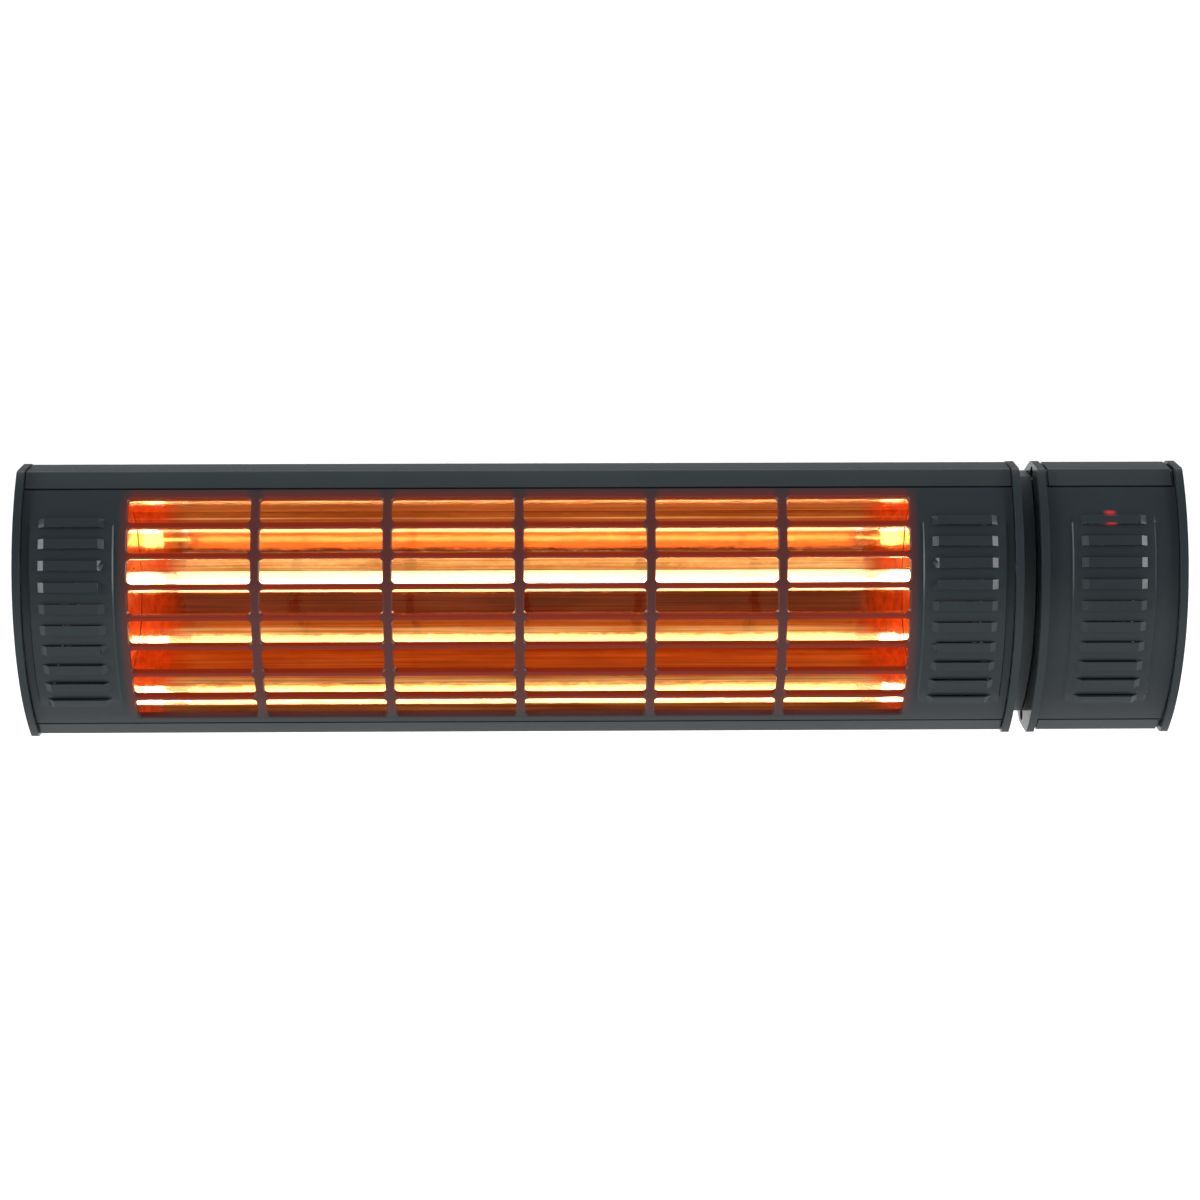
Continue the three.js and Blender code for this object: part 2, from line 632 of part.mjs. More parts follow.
// corners of the reflecting face, upper half, from the middle of the back to the front
function reflectorFace(offset) {
  const planes = REFLECTOR_FACETS.map(({ tilt, distance }) => ({
    normal: new THREE.Vector2(Math.cos(radians(tilt)), Math.sin(radians(tilt))),
    distance: distance + offset,
  }));
  const points = [new THREE.Vector2(planes[0].distance / planes[0].normal.x, 0)];
  for (let i = 0; i + 1 < planes.length; i += 1) {
    const [a, b] = [planes[i], planes[i + 1]];
    const det = a.normal.cross(b.normal);
    points.push(new THREE.Vector2(
      (a.distance * b.normal.y - b.distance * a.normal.y) / det,
      (a.normal.x * b.distance - b.normal.x * a.distance) / det));
  }
  const last = planes[planes.length - 1];
  const frontY = REFLECTOR_FRONT_Y + offset - LAMP_Y;
  points.push(new THREE.Vector2(frontY, (last.distance - last.normal.x * frontY) / last.normal.y));
  return points.map((point) => new THREE.Vector2(point.x + LAMP_Y, point.y));
}

function reflector() {
  const face = reflectorFace(0);
  const flangeFront = new THREE.Vector2(REFLECTOR_FRONT_Y, FLANGE_HALF_HEIGHT);
  const flangeBack = new THREE.Vector2(REFLECTOR_FRONT_Y + REFLECTOR_SHEET, FLANGE_HALF_HEIGHT);
  const back = reflectorFace(REFLECTOR_SHEET);
  const inner = [...face, flangeFront];
  const outer = [...back, flangeBack];
  const outline = [
    ...backwards(below(inner.slice(1))), ...inner,
    ...backwards(outer), ...below(outer.slice(1)),
  ];
  return alongX(outline, -REFLECTOR_HALF_LENGTH, REFLECTOR_HALF_LENGTH);
}

function reflectorEnd() {
  const x0 = REFLECTOR_HALF_LENGTH + GAP;
  const x1 = x0 + REFLECTOR_END_SHEET;
  const half = reflectorFace(REFLECTOR_END_MARGIN);
  const outline = [...half, ...backwards(below(half.slice(1)))];
  const cap = alongX(outline, x0, x1, [circle([LAMP_Y, 0], LAMP_HOLE_RADIUS, 16)]);
  const backY = REAR_Y - SHELL_THICKNESS - GAP;
  const { length, halfHeight, startY } = REFLECTOR_END_FOOT;
  const foot = box(x0, x0 + length, backY - REFLECTOR_END_SHEET, backY, -halfHeight, halfHeight);
  const web = box(x0, x1, startY, backY, -halfHeight, halfHeight);
  return joined([cap, web, foot]);
}

function lampTube() {
  const inner = TUBE_RADIUS - TUBE_WALL;
  const end = TUBE_HALF_LENGTH;
  const profile = [
    [inner, -end], [TUBE_RADIUS, -end], [TUBE_RADIUS, end], [inner, end], [inner, -end],
  ];
  return turnedX(profile, 16).translate(0, LAMP_Y, 0);
}

function lampFilament() {
  const tail = TUBE_HALF_LENGTH - 1;
  const profile = [
    [0, -tail], [LEAD_RADIUS, -tail], [LEAD_RADIUS, -COIL_HALF_LENGTH],
    [COIL_RADIUS, -COIL_HALF_LENGTH],
  ];
  for (let i = 0; i < SUPPORT_COUNT; i += 1) {
    const x = (i - (SUPPORT_COUNT - 1) / 2) * SUPPORT_PITCH;
    profile.push([COIL_RADIUS, x - 0.5], [SUPPORT_RADIUS, x], [COIL_RADIUS, x + 0.5]);
  }
  profile.push(
    [COIL_RADIUS, COIL_HALF_LENGTH], [LEAD_RADIUS, COIL_HALF_LENGTH], [LEAD_RADIUS, tail],
    [0, tail]);
  return turnedX(profile, 8).translate(0, LAMP_Y, 0);
}

function lampCap() {
  const bore = TUBE_RADIUS + GAP;
  const floor = TUBE_HALF_LENGTH + GAP;
  const profile = [
    [bore, CAP_START_X], [CAP_RADIUS, CAP_START_X], [CAP_RADIUS, CAP_END_X - 1],
    [CAP_RADIUS - 1, CAP_END_X], [0, CAP_END_X], [0, floor], [bore, floor], [bore, CAP_START_X],
  ];
  return turnedX(profile, 16).translate(0, LAMP_Y, 0);
}

function lampHolder() {
  const block = box(HOLDER_START_X, HOLDER_END_X, LAMP_Y - HOLDER_HALF, LAMP_Y + HOLDER_HALF,
    -HOLDER_HALF_HEIGHT, HOLDER_HALF_HEIGHT);
  const socket = rodX(CAP_RADIUS + GAP, HOLDER_START_X - 1, CAP_END_X + GAP, LAMP_Y, 0, 16);
  const notch = box(HOLDER_START_X - 1, HOLDER_START_X + HOLDER_NOTCH_DEPTH,
    LAMP_Y - HOLDER_HALF - 1, LAMP_Y, -CAP_RADIUS - GAP, CAP_RADIUS + GAP);
  return cut(toSolid(block), [socket, notch]);
}

// bent strip that carries a lamp holder on the rear wall
function holderClip() {
  const backY = LAMP_Y + HOLDER_HALF + GAP;
  const footY = REAR_Y - SHELL_THICKNESS - GAP;
  const legX = HOLDER_END_X + 1;
  const endX = CLIP_FOOT_X + CLIP_FOOT_LIP;
  const outline = [
    [HOLDER_START_X, backY], [legX + CLIP_SHEET, backY], [legX + CLIP_SHEET, footY - CLIP_SHEET],
    [endX, footY - CLIP_SHEET], [endX, footY], [legX, footY],
    [legX, backY + CLIP_SHEET], [HOLDER_START_X, backY + CLIP_SHEET],
  ].map(([x, y]) => new THREE.Vector2(x, y));
  const strip = new THREE.ExtrudeGeometry(
    new THREE.Shape(outline), { depth: CLIP_WIDTH, bevelEnabled: false });
  const hole = rodY(CLIP_HOLE_RADIUS, footY - CLIP_SHEET - 1, footY + 1, CLIP_FOOT_X, 0, 8);
  return cut(toSolid(strip.translate(0, 0, -CLIP_WIDTH / 2)), [hole]);
}

// sleeved wire along straight runs with rounded bends
function wire(points, steps) {
  const path = new THREE.CurvePath();
  let from = points[0];
  for (let i = 1; i + 1 < points.length; i += 1) {
    const back = points[i - 1].clone().sub(points[i]).setLength(WIRE_BEND).add(points[i]);
    const ahead = points[i + 1].clone().sub(points[i]).setLength(WIRE_BEND).add(points[i]);
    path.add(new THREE.LineCurve3(from, back));
    path.add(new THREE.QuadraticBezierCurve3(back, points[i], ahead));
    from = ahead;
  }
  path.add(new THREE.LineCurve3(from, points[points.length - 1]));
  const section = new THREE.Shape(circle([0, 0], WIRE_RADIUS, 6));
  return new THREE.ExtrudeGeometry(section, { steps, bevelEnabled: false, extrudePath: path });
}

function lampWire(side, lane, terminalX, steps) {
  const start = side * (HOLDER_END_X + GAP);
  const outside = side * (HOLDER_END_X + WIRE_OUTSIDE);
  const terminalZ = TERMINAL_BOTTOM_Z - GAP;
  return wire([
    new THREE.Vector3(start, LAMP_Y, WIRE_START_Z),
    new THREE.Vector3(outside, LAMP_Y, WIRE_START_Z),
    new THREE.Vector3(outside, lane.y, lane.z),
    new THREE.Vector3(terminalX, lane.y, lane.z),
    new THREE.Vector3(terminalX, lane.y, terminalZ),
  ], steps);
}

// ---------- control box ----------

// ring that leaves a shadow groove round the housing's end
function groove(fromX, toX) {
  const around = alongX(fullOutline(-GROOVE_DEPTH, -GROOVE_DEPTH, SHELL_CORNER), fromX, toX);
  const kept = alongX(
    fullOutline(GROOVE_DEPTH, GROOVE_DEPTH, SHELL_CORNER), fromX - 1, toX + 1);
  return cut(toSolid(around), [kept]);
}

function controlHousing() {
  const grooves = [
    groove(CONTROL_INNER_LEFT - 1, CONTROL_INNER_LEFT + GROOVE_WIDTH),
    groove(CONTROL_INNER_RIGHT - GROOVE_WIDTH, CONTROL_INNER_RIGHT + 1),
  ];
  const postFront = BOARD_Y + BOARD_THICKNESS / 2 + GAP;
  const postBack = REAR_Y - SHELL_THICKNESS / 2;
  const posts = POST_PLACES.map(([x, z]) => rodY(POST_RADIUS, postFront, postBack, x, z, 10));
  const postHoles = POST_PLACES.map(([x, z]) => (
    rodY(POST_HOLE_RADIUS, BOARD_Y, REAR_Y - 2 * SHELL_THICKNESS, x, z, 8)));
  const glandHole = rodY(GLAND_THREAD_RADIUS + GAP, 0, REAR_Y + 1, GLAND_X, GLAND_Z, 16);
  const shell = posts.map(toSolid).reduce(
    (whole, post) => whole.add(post), shellWithBosses(CONTROL_INNER_LEFT, CONTROL_INNER_RIGHT));
  const grooved = grooves.reduce((whole, ring) => whole.subtract(ring), shell);
  return cut(grooved, [...postHoles, glandHole]);
}

function controlCover() {
  const sheet = ventSheet(CONTROL_INNER_LEFT, CONTROL_INNER_RIGHT);
  return withVentPanel(toSolid(sheet), CONTROL_CENTRE_X);
}

function circuitBoard() {
  const half = BOARD_THICKNESS / 2;
  const board = box(...BOARD_X, BOARD_Y - half, BOARD_Y + half,
    -BOARD_HALF_HEIGHT, BOARD_HALF_HEIGHT);
  const holes = POST_PLACES.map(([x, z]) => (
    rodY(BOARD_HOLE_RADIUS, BOARD_Y - BOARD_THICKNESS, BOARD_Y + BOARD_THICKNESS, x, z, 8)));
  return cut(toSolid(board), holes);
}

function boardScrew(x, z) {
  const seat = BOARD_FRONT_Y;
  const { headRadius, headHeight, radius, length } = BOARD_SCREW;
  const profile = [
    [0, seat - headHeight], [headRadius, seat - headHeight], [headRadius, seat], [radius, seat],
    [radius, seat + length], [0, seat + length],
  ];
  return turnedY(profile, 10).translate(x, 0, z);
}

function terminalBlock() {
  const frontY = BOARD_FRONT_Y - TERMINAL_DEPTH;
  const block = box(...TERMINAL_X, frontY, BOARD_FRONT_Y, TERMINAL_BOTTOM_Z, TERMINAL_TOP_Z);
  const { radius, depth, z } = TERMINAL_SCREW_HOLE;
  const screwHoles = TERMINAL_SCREW_X.map((x) => rodY(radius, frontY - 1, frontY + depth, x, z, 8));
  return cut(toSolid(block), screwHoles);
}

function receiverModule() {
  const body = box(LED_X - RECEIVER_BODY.left, LED_X + RECEIVER_BODY.right,
    RECEIVER_Y, RECEIVER_Y + RECEIVER_BODY.depth, ...RECEIVER_BODY.z);
  const flange = box(LED_X - RECEIVER_FLANGE.left, LED_X + RECEIVER_FLANGE.right,
    RECEIVER_Y + RECEIVER_FLANGE.from, RECEIVER_Y + RECEIVER_FLANGE.to, ...RECEIVER_FLANGE.z);
  return joined([body, flange]);
}

function indicatorLed() {
  return turnedY(LED_PROFILE, 16).rotateZ(Math.PI).translate(LED_X, RECEIVER_Y - GAP, LED_Z);
}

// ---------- cable gland ----------

function hexagon(acrossFlats) {
  const corner = acrossFlats / Math.sqrt(3);
  return circle([0, 0], corner, 6);
}

function hexPrismY(acrossFlats, y0, y1, x, z) {
  const geometry = new THREE.ExtrudeGeometry(
    new THREE.Shape(hexagon(acrossFlats)), { depth: y1 - y0, bevelEnabled: false });
  return geometry.rotateX(Math.PI / 2).translate(x, y1, z);
}

function hexPrismX(acrossFlats, x0, x1, y, z) {
  return alongX(hexagon(acrossFlats), x0, x1).translate(0, y, z);
}

function cableGland() {
  const hexEnd = REAR_Y + GLAND_HEX.height;
  const neckEnd = REAR_Y + GLAND_NECK.end;
  const hex = hexPrismY(GLAND_HEX.acrossFlats, REAR_Y + GAP, hexEnd, GLAND_X, GLAND_Z);
  const thread = rodY(GLAND_THREAD_RADIUS, -1, hexEnd - 1, GLAND_X, GLAND_Z, 16);
  const neck = rodY(GLAND_NECK.radius, hexEnd - 1, neckEnd, GLAND_X, GLAND_Z, 16);
  const bore = rodY(GLAND_BORE_RADIUS, -2, neckEnd + 1, GLAND_X, GLAND_Z, 12);
  return cut(joined([hex, thread, neck]), [bore]);
}

function glandNut() {
  const from = REAR_Y + GLAND_HEX.height + GAP;
  const bore = GLAND_NECK.radius + GAP;
  const seatEdge = REAR_Y + GLAND_NECK.end + GAP;
  const { radius, side, length, topRadius, mouthRadius, seat } = DOME_NUT;
  const profile = [
    [bore, from], [radius, from], [radius, from + side], [topRadius, from + length],
    [mouthRadius, from + length], [mouthRadius, from + seat], [bore, seatEdge], [bore, from],
  ];
  return turnedY(profile, 12).translate(GLAND_X, 0, GLAND_Z);
}

// ---------- tilt bracket ----------

const EAR_SCREWS = [1, -1].flatMap((side) => (
  [1, -1].map((level) => [side * EAR_SCREW_X, level * EAR_SCREW_Z])));

// arm that narrows from its root to a round end about the pivot
function armOutline(rootY, rootHalfHeight, endRadius) {
  const direction = Math.sign(PIVOT_Y - rootY);
  const points = [new THREE.Vector2(rootY, rootHalfHeight)];
  for (let i = 0; i <= 8; i += 1) {
    const angle = (Math.PI * (4 - i)) / 8;
    points.push(new THREE.Vector2(
      PIVOT_Y + direction * endRadius * Math.cos(angle), endRadius * Math.sin(angle)));
  }
  points.push(new THREE.Vector2(rootY, -rootHalfHeight));
  return points;
}

function tiltEar() {
  const rootY = REAR_Y + GAP;
  const innerX = EAR_OUTER_X - BRACKET_SHEET;
  const footBack = rootY + BRACKET_SHEET;
  const arm = alongX(
    armOutline(rootY, EAR_ROOT_HALF_HEIGHT, EAR_END_RADIUS), innerX, EAR_OUTER_X);
  const foot = box(EAR_FOOT_X, EAR_OUTER_X - 1, rootY, footBack,
    -EAR_ROOT_HALF_HEIGHT, EAR_ROOT_HALF_HEIGHT);
  const pivotHole = rodX(PIVOT_HOLE_RADIUS, innerX - 1, EAR_OUTER_X + 1, PIVOT_Y, 0, 16);
  const screwHoles = [1, -1].map((level) => (
    rodY(EAR_SCREW.holeRadius, rootY - 1, footBack + 1, EAR_SCREW_X, level * EAR_SCREW_Z, 12)));
  return cut(joined([arm, foot]), [pivotHole, ...screwHoles]);
}

function earScrew(x, z) {
  const headY = REAR_Y + GAP + BRACKET_SHEET + GAP;
  const head = hexPrismY(EAR_SCREW.acrossFlats, headY, headY + EAR_SCREW.headHeight, x, z);
  const shank = rodY(EAR_SCREW.radius, EAR_SCREW.endY, headY + 1, x, z, 12);
  return joined([head, shank]);
}

function wallSlot(x) {
  const outline = roundedRectangle(WALL_SLOT.length, WALL_SLOT.height, WALL_SLOT.corner, 4);
  const geometry = new THREE.ExtrudeGeometry(
    new THREE.Shape(outline), { depth: 3 * BRACKET_SHEET, bevelEnabled: false });
  return geometry.rotateX(Math.PI / 2).translate(x, WALL_Y + BRACKET_SHEET, 0);
}

function wallBracket() {
  const cheekOuter = CHEEK_INNER_X + BRACKET_SHEET;
  const webOutline = roundedRectangle(
    2 * cheekOuter, 2 * BRACKET_HALF_HEIGHT, BRACKET_CORNER);
  const web = new THREE.ExtrudeGeometry(
    new THREE.Shape(webOutline), { depth: BRACKET_SHEET, bevelEnabled: false });
  web.rotateX(Math.PI / 2).translate(0, WALL_Y, 0);
  const cheekOutline = armOutline(
    WALL_Y - 1, BRACKET_HALF_HEIGHT - BRACKET_CORNER, CHEEK_END_RADIUS);
  const cheeks = [
    alongX(cheekOutline, CHEEK_INNER_X, cheekOuter),
    alongX(cheekOutline, -cheekOuter, -CHEEK_INNER_X),
  ];
  const reach = BRACKET_SHEET + 1;
  const pivotHoles = [1, -1].map((side) => (
    rodX(PIVOT_HOLE_RADIUS, side * cheekOuter - reach, side * cheekOuter + reach, PIVOT_Y, 0)));
  const slots = [-WALL_SLOT_X, WALL_SLOT_X].map(wallSlot);
  return cut(joined([web, ...cheeks]), [...pivotHoles, ...slots]);
}

function pivotWasher() {
  const from = EAR_OUTER_X + GAP;
  return alongX(circle([PIVOT_Y, 0], WASHER_RADIUS, 20), from, from + WASHER_THICKNESS,
    [circle([PIVOT_Y, 0], PIVOT_HOLE_RADIUS, 16)]);
}

function pivotBolt() {
  const headX = CHEEK_INNER_X + BRACKET_SHEET + GAP;
  const head = hexPrismX(
    PIVOT_HEX.acrossFlats, headX, headX + PIVOT_HEX.headHeight, PIVOT_Y, 0);
  const shank = rodX(PIVOT_BOLT_RADIUS, PIVOT_BOLT_END_X, headX + 1, PIVOT_Y, 0, 16);
  return joined([head, shank]);
}

function pivotNut() {
  const to = EAR_OUTER_X - BRACKET_SHEET - GAP;
  const nut = alongX(hexagon(PIVOT_HEX.acrossFlats), to - PIVOT_HEX.nutHeight, to,
    [circle([0, 0], PIVOT_HOLE_RADIUS, 16)]);
  return nut.translate(0, PIVOT_Y, 0);
}

// ---------- assembly ----------

const SIDES = [['left', -1], ['right', 1]];

function addPair(group, name, geometry, finish) {
  const indexed = geometry.index ? geometry : mergeVertices(geometry);
  group.add(named(`${name}_right`, indexed, finish));
  group.add(named(`${name}_left`, mirrorX(indexed), finish));
}

function addBoxedBody(group) {
  group.add(named('housing_shell', toGeometry(housingShell()), 'anthracite'));
  group.add(named('front_grille', toGeometry(frontGrille()), 'anthracite'));
  group.add(named('end_plate_left', toGeometry(endPlate(-BODY_HALF_WIDTH, -1, [])), 'anthracite'));
  group.add(named('end_plate_right',
    toGeometry(endPlate(BODY_HALF_WIDTH, 1, wireAndNeckHoles(BODY_HALF_WIDTH))), 'anthracite'));
  for (const [label, side] of SIDES) {
    BOSSES.forEach(([y, z], i) => {
      const screw = flatHeadScrew(side * BODY_HALF_WIDTH, side, y, z, END_SCREW_LENGTH);
      group.add(named(`end_screw_${label}_${i + 1}`, screw, 'blackened'));
    });
  }
}

function addLamp(group) {
  group.add(named('reflector', reflector(), 'polished'));
  addPair(group, 'reflector_end', toGeometry(reflectorEnd()), 'polished');
  group.add(named('lamp_tube', lampTube(), 'quartz'));
  group.add(named('lamp_filament', lampFilament(), 'tungsten'));
  addPair(group, 'lamp_cap', lampCap(), 'ceramic');
  addPair(group, 'lamp_holder', toGeometry(lampHolder()), 'ceramic');
  addPair(group, 'holder_clip', toGeometry(holderClip()), 'zinc');
  group.add(named(
    'lamp_wire_left', lampWire(-1, LEFT_LANE, TERMINAL_WIRE_X.left, 44), 'wireSleeve'));
  group.add(named(
    'lamp_wire_right', lampWire(1, RIGHT_LANE, TERMINAL_WIRE_X.right, 24), 'wireSleeve'));
}

function addControlBox(group) {
  group.add(named('neck_spacer', toGeometry(neckSpacer()), 'darkNeck'));
  group.add(named('neck_screw_upper', neckScrew(1), 'zinc'));
  group.add(named('neck_screw_lower', neckScrew(-1), 'zinc'));
  group.add(named('control_housing', toGeometry(controlHousing()), 'anthracite'));
  group.add(named('control_cover', toGeometry(controlCover()), 'anthracite'));
  group.add(named('control_plate_left',
    toGeometry(endPlate(CONTROL_LEFT_X, -1, wireAndNeckHoles(CONTROL_LEFT_X))), 'anthracite'));
  group.add(named('control_plate_right', toGeometry(endPlate(CONTROL_RIGHT_X, 1, [])), 'anthracite'));
  BOSSES.forEach(([y, z], i) => {
    const screw = flatHeadScrew(CONTROL_RIGHT_X, 1, y, z, CONTROL_WIDTH - 2);
    group.add(named(`control_screw_${i + 1}`, screw, 'blackened'));
  });
  group.add(named('circuit_board', toGeometry(circuitBoard()), 'circuitGreen'));
  POST_PLACES.forEach(([x, z], i) => {
    group.add(named(`board_screw_${i + 1}`, boardScrew(x, z), 'zinc'));
  });
  const relay = box(...RELAY.x, BOARD_FRONT_Y - RELAY.depth, BOARD_FRONT_Y, ...RELAY.z);
  group.add(named('relay', relay, 'blackPlastic'));
  group.add(named('terminal_block', toGeometry(terminalBlock()), 'whitePlastic'));
  group.add(named('receiver_module', toGeometry(receiverModule()), 'greyPlastic'));
  group.add(named('indicator_led', indicatorLed(), 'redLens'));
  group.add(named('cable_gland', toGeometry(cableGland()), 'blackPlastic'));
  group.add(named('gland_nut', glandNut(), 'blackPlastic'));
}

function addBracket(group) {
  group.add(named('wall_bracket', toGeometry(wallBracket()), 'blackened'));
  addPair(group, 'pivot_washer', pivotWasher(), 'fibre');
  addPair(group, 'pivot_bolt', toGeometry(pivotBolt()), 'zinc');
  addPair(group, 'pivot_nut', pivotNut(), 'zinc');
  addPair(group, 'tilt_ear', toGeometry(tiltEar()), 'blackened');
  EAR_SCREWS.forEach(([x, z], i) => {
    group.add(named(`ear_screw_${i + 1}`, toGeometry(earScrew(x, z)), 'zinc'));
  });
}

const heater = new THREE.Group();
heater.position.y = -WALL_Y;
addBoxedBody(heater);
addLamp(heater);
addControlBox(heater);
addBracket(heater);

export default heater;
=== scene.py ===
# Electric bar heater: the dressed model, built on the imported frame.
# Metres. X runs to the right, -Y is the front, +Z is up, as in the solids.
import math

import bmesh
import bpy
from mathutils import Matrix, Vector
from mathutils.geometry import intersect_line_line_2d


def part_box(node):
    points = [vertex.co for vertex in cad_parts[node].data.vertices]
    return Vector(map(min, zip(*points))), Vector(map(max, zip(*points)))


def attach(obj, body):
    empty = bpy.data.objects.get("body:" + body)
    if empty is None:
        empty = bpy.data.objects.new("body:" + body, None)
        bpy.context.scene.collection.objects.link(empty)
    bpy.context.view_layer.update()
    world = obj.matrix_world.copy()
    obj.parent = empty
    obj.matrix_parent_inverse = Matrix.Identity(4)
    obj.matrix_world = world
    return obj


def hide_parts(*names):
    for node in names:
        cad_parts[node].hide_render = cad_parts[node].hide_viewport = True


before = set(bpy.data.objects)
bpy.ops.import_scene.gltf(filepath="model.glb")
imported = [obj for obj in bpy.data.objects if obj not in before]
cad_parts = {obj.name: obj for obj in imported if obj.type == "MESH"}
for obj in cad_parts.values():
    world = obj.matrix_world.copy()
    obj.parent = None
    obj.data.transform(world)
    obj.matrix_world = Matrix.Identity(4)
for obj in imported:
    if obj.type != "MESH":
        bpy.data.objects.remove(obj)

bl_info = {
    "name": "Electric bar heater",
    "version": (1, 0, 0),
    "blender": (4, 5, 0),
    "location": "3D View > Sidebar > Heater",
    "description": "Builds the visible pieces, finishes and stage of a wall-mounted bar heater",
    "category": "Object",
}

MM = 0.001
HEATER = "heater_body"
WALL = "wall_mount"
NEAR = 1e-5  # two places closer than this are one place
TOUCHING = 1e-7  # how close vertices of fine wires are before they are merged


# ---------- sizes and colours ----------


def linear(hex_code):
    """sRGB hex to linear."""
    parts = [int(hex_code[i:i + 2], 16) / 255 for i in (0, 2, 4)]
    return tuple(c / 12.92 if c <= 0.04045 else ((c + 0.055) / 1.055) ** 2.4 for c in parts)


def length(name, description, millimetres):
    return bpy.props.FloatProperty(
        name=name, description=description, default=millimetres * MM, precision=5,
        subtype="DISTANCE", unit="LENGTH")


def angle(name, description, degrees):
    return bpy.props.FloatProperty(
        name=name, description=description, default=math.radians(degrees), subtype="ANGLE",
        unit="ROTATION")


def count(name, description, number):
    return bpy.props.IntProperty(name=name, description=description, default=number, min=1)


def colour(name, description, hex_code):
    return bpy.props.FloatVectorProperty(
        name=name, description=description, default=linear(hex_code), size=3, min=0, max=1,
        subtype="COLOR")


class HeaterSizes(bpy.types.PropertyGroup):
    """Sizes of the pieces that are made here"""

    axis_y: length("Front axis", "Place of the curved front's axis, from the wall", -78)
    front_radius: length("Front radius", "Outer radius of the curved front sheet", 88)
    sheet: length("Sheet", "Thickness of the front sheets", 0.9)
    sheet_edge: angle("Sheet edge", "Angle of the front sheet's upper and lower edges", 39.2)
    body_half: length("Body half width", "From the middle to an end plate's outer face", 230)
    control_left: length("Control box left", "Left face of the control box", 238.3)
    control_right: length("Control box right", "Right face of the control box", 305.2)
    plate: length("End plate", "Thickness of an end plate", 3.5)
    plate_proud: length("Plate step", "How far a plate stands proud of the front sheet", 2.5)
    plate_wall_step: length("Plate wall step", "How far a plate stands proud of the walls", 0.6)
    plate_edge: length("Plate edge", "Rounding of an end plate's rim", 1.1)
    plate_corner: length("Plate corner", "Corner radius of an end plate's outline", 4)
    half_height: length("Half height", "Half height of the body between its walls", 63.08)
    wall_depth: length("Wall depth", "Level part of the top and bottom walls", 16)
    rear: length("Rear face", "Rear face, behind the axis of the front", 8)
    rear_half: length("Rear half height", "Half height of the flat rear face", 36)
    slot_pitch: length("Slot pitch", "Distance between slot columns", 60.2)
    slot_width: length("Slot width", "Width of a guard slot", 56)
    slot_height: length("Slot height", "Height of a guard slot", 11.6)
    slot_angle: angle("Slot angle", "Angle from one row of slots to the next", 9.34)
    slot_corner: length("Slot corner", "Corner radius of a guard slot", 1.9)
    slot_roll: length("Slot roll", "Radius of the rolled edge of a slot", 1)
    slot_depth: length("Slot depth", "Depth of the turned-in edge of a slot", 3.1)
    slot_columns: count("Slot columns", "Slots along the heater", 6)
    slot_rows: count("Slot rows", "Slots one above the other", 8)
    vent_place: length("Vent place", "Middle of a vent panel, from the body's middle", 203.5)
    vent_width: length("Vent width", "Width of a raised vent panel", 39)
    vent_half_angle: angle("Vent half angle", "Half of the angle that a vent panel takes", 31.8)
    vent_raise: length("Vent raise", "How far a vent panel stands proud of the sheet", 0.8)
    vent_fade: length("Vent fade", "Length over which a panel rises at its top and bottom", 9)
    louvre_length: length("Louvre length", "Length of a bridge louvre with its ramps", 30)
    louvre_ramp: length("Louvre ramp", "Length of the ramp at each end of a louvre", 2.8)
    louvre_height: length("Louvre height", "Height of a bridge louvre", 4.4)
    louvre_rise: length("Louvre rise", "How far a louvre stands out of its panel", 1.7)
    louvre_angle: angle("Louvre angle", "Angle from one louvre to the next", 6.35)
    louvres: count("Louvres", "Louvres in one panel", 10)
    lamp_y: length("Lamp place", "Lamp, from the axis of the front", -20)
    tube_radius: length("Tube radius", "Outer radius of the quartz tube", 5)
    tube_wall: length("Tube wall", "Wall of the quartz tube", 0.9)
    tube_half: length("Tube half length", "Half length of the quartz tube", 194)
    coat_half: length("Coat half length", "Half length of the tube's gold coat", 165)
    coil_half: length("Coil half length", "Half of the heated length", 165.5)
    coil_radius: length("Coil radius", "Radius of the filament's coil", 1.3)
    coil_doublings: count("Coil doublings", "The coil has 2 to this power of turns", 8)
    support_pitch: length("Support pitch", "Distance between filament supports", 54.3)


class HeaterFinishes(bpy.types.PropertyGroup):
    """Colours of the finishes"""

    enamel: colour("Enamel", "Stoved enamel of the housings", "1c2123")
    neck: colour("Neck", "Satin paint of the neck", "2e3437")
    bracket: colour("Bracket", "Powder coat of the wall bracket", "1a1b1c")
    # bright, straw and brown: the trough's colour in bands by height, set so its mirror shows
    # bands of reflected lamp light; painted reflection, not heat tint
    bright: colour("Bright aluminium", "Reflector where the heat hasn't coloured it", "fff0d8")
    straw: colour("Straw tint", "Reflector where the heat has turned it straw-coloured", "c8965c")
    painted_brown_reflection: colour("Brown tint", "Reflector where the heat has turned it brown", "85502f")
    # cream, amber, ember and dusk: painted light of the lamp on the reflector
    cream: colour("Cream glow", "Strongest light scattered on the reflector", "d2a262")
    amber: colour("Amber glow", "Middling light scattered on the reflector", "86441a")
    ember: colour("Ember glow", "Red light scattered on the reflector", "a63a08")
    dusk: colour("Dusk glow", "Weakest light scattered on the reflector", "6e2810")
    # painted glow: red light painted on the reflector beside the lamp's ends
    heat: colour("Heat glow", "Red light on the reflector beside the lamp's ends", "c43408")
    # painted glow: red light painted on the guard bars before the lamp, not a heat tint of the
    # enamel
    tint: colour("Heat tint", "Red light on the guard bars in front of the lamp", "8e2608")
    # painted glow: the indicator's red light painted on the cover's louvres
    indicator: colour("Indicator", "Red light of the indicator on the cover's louvres", "e00a0a")
    tube: colour("Gold coat", "Gold coat on the quartz tube", "ffd9a4")
    filament: colour("Filament", "White-hot tungsten", "fff0c0")
    ceramic: colour("Ceramic", "Steatite of the lamp caps and holders", "e6dfd0")
    floor: colour("Floor", "Pale floor", "f4f3f2")


# ---------- making finishes ----------


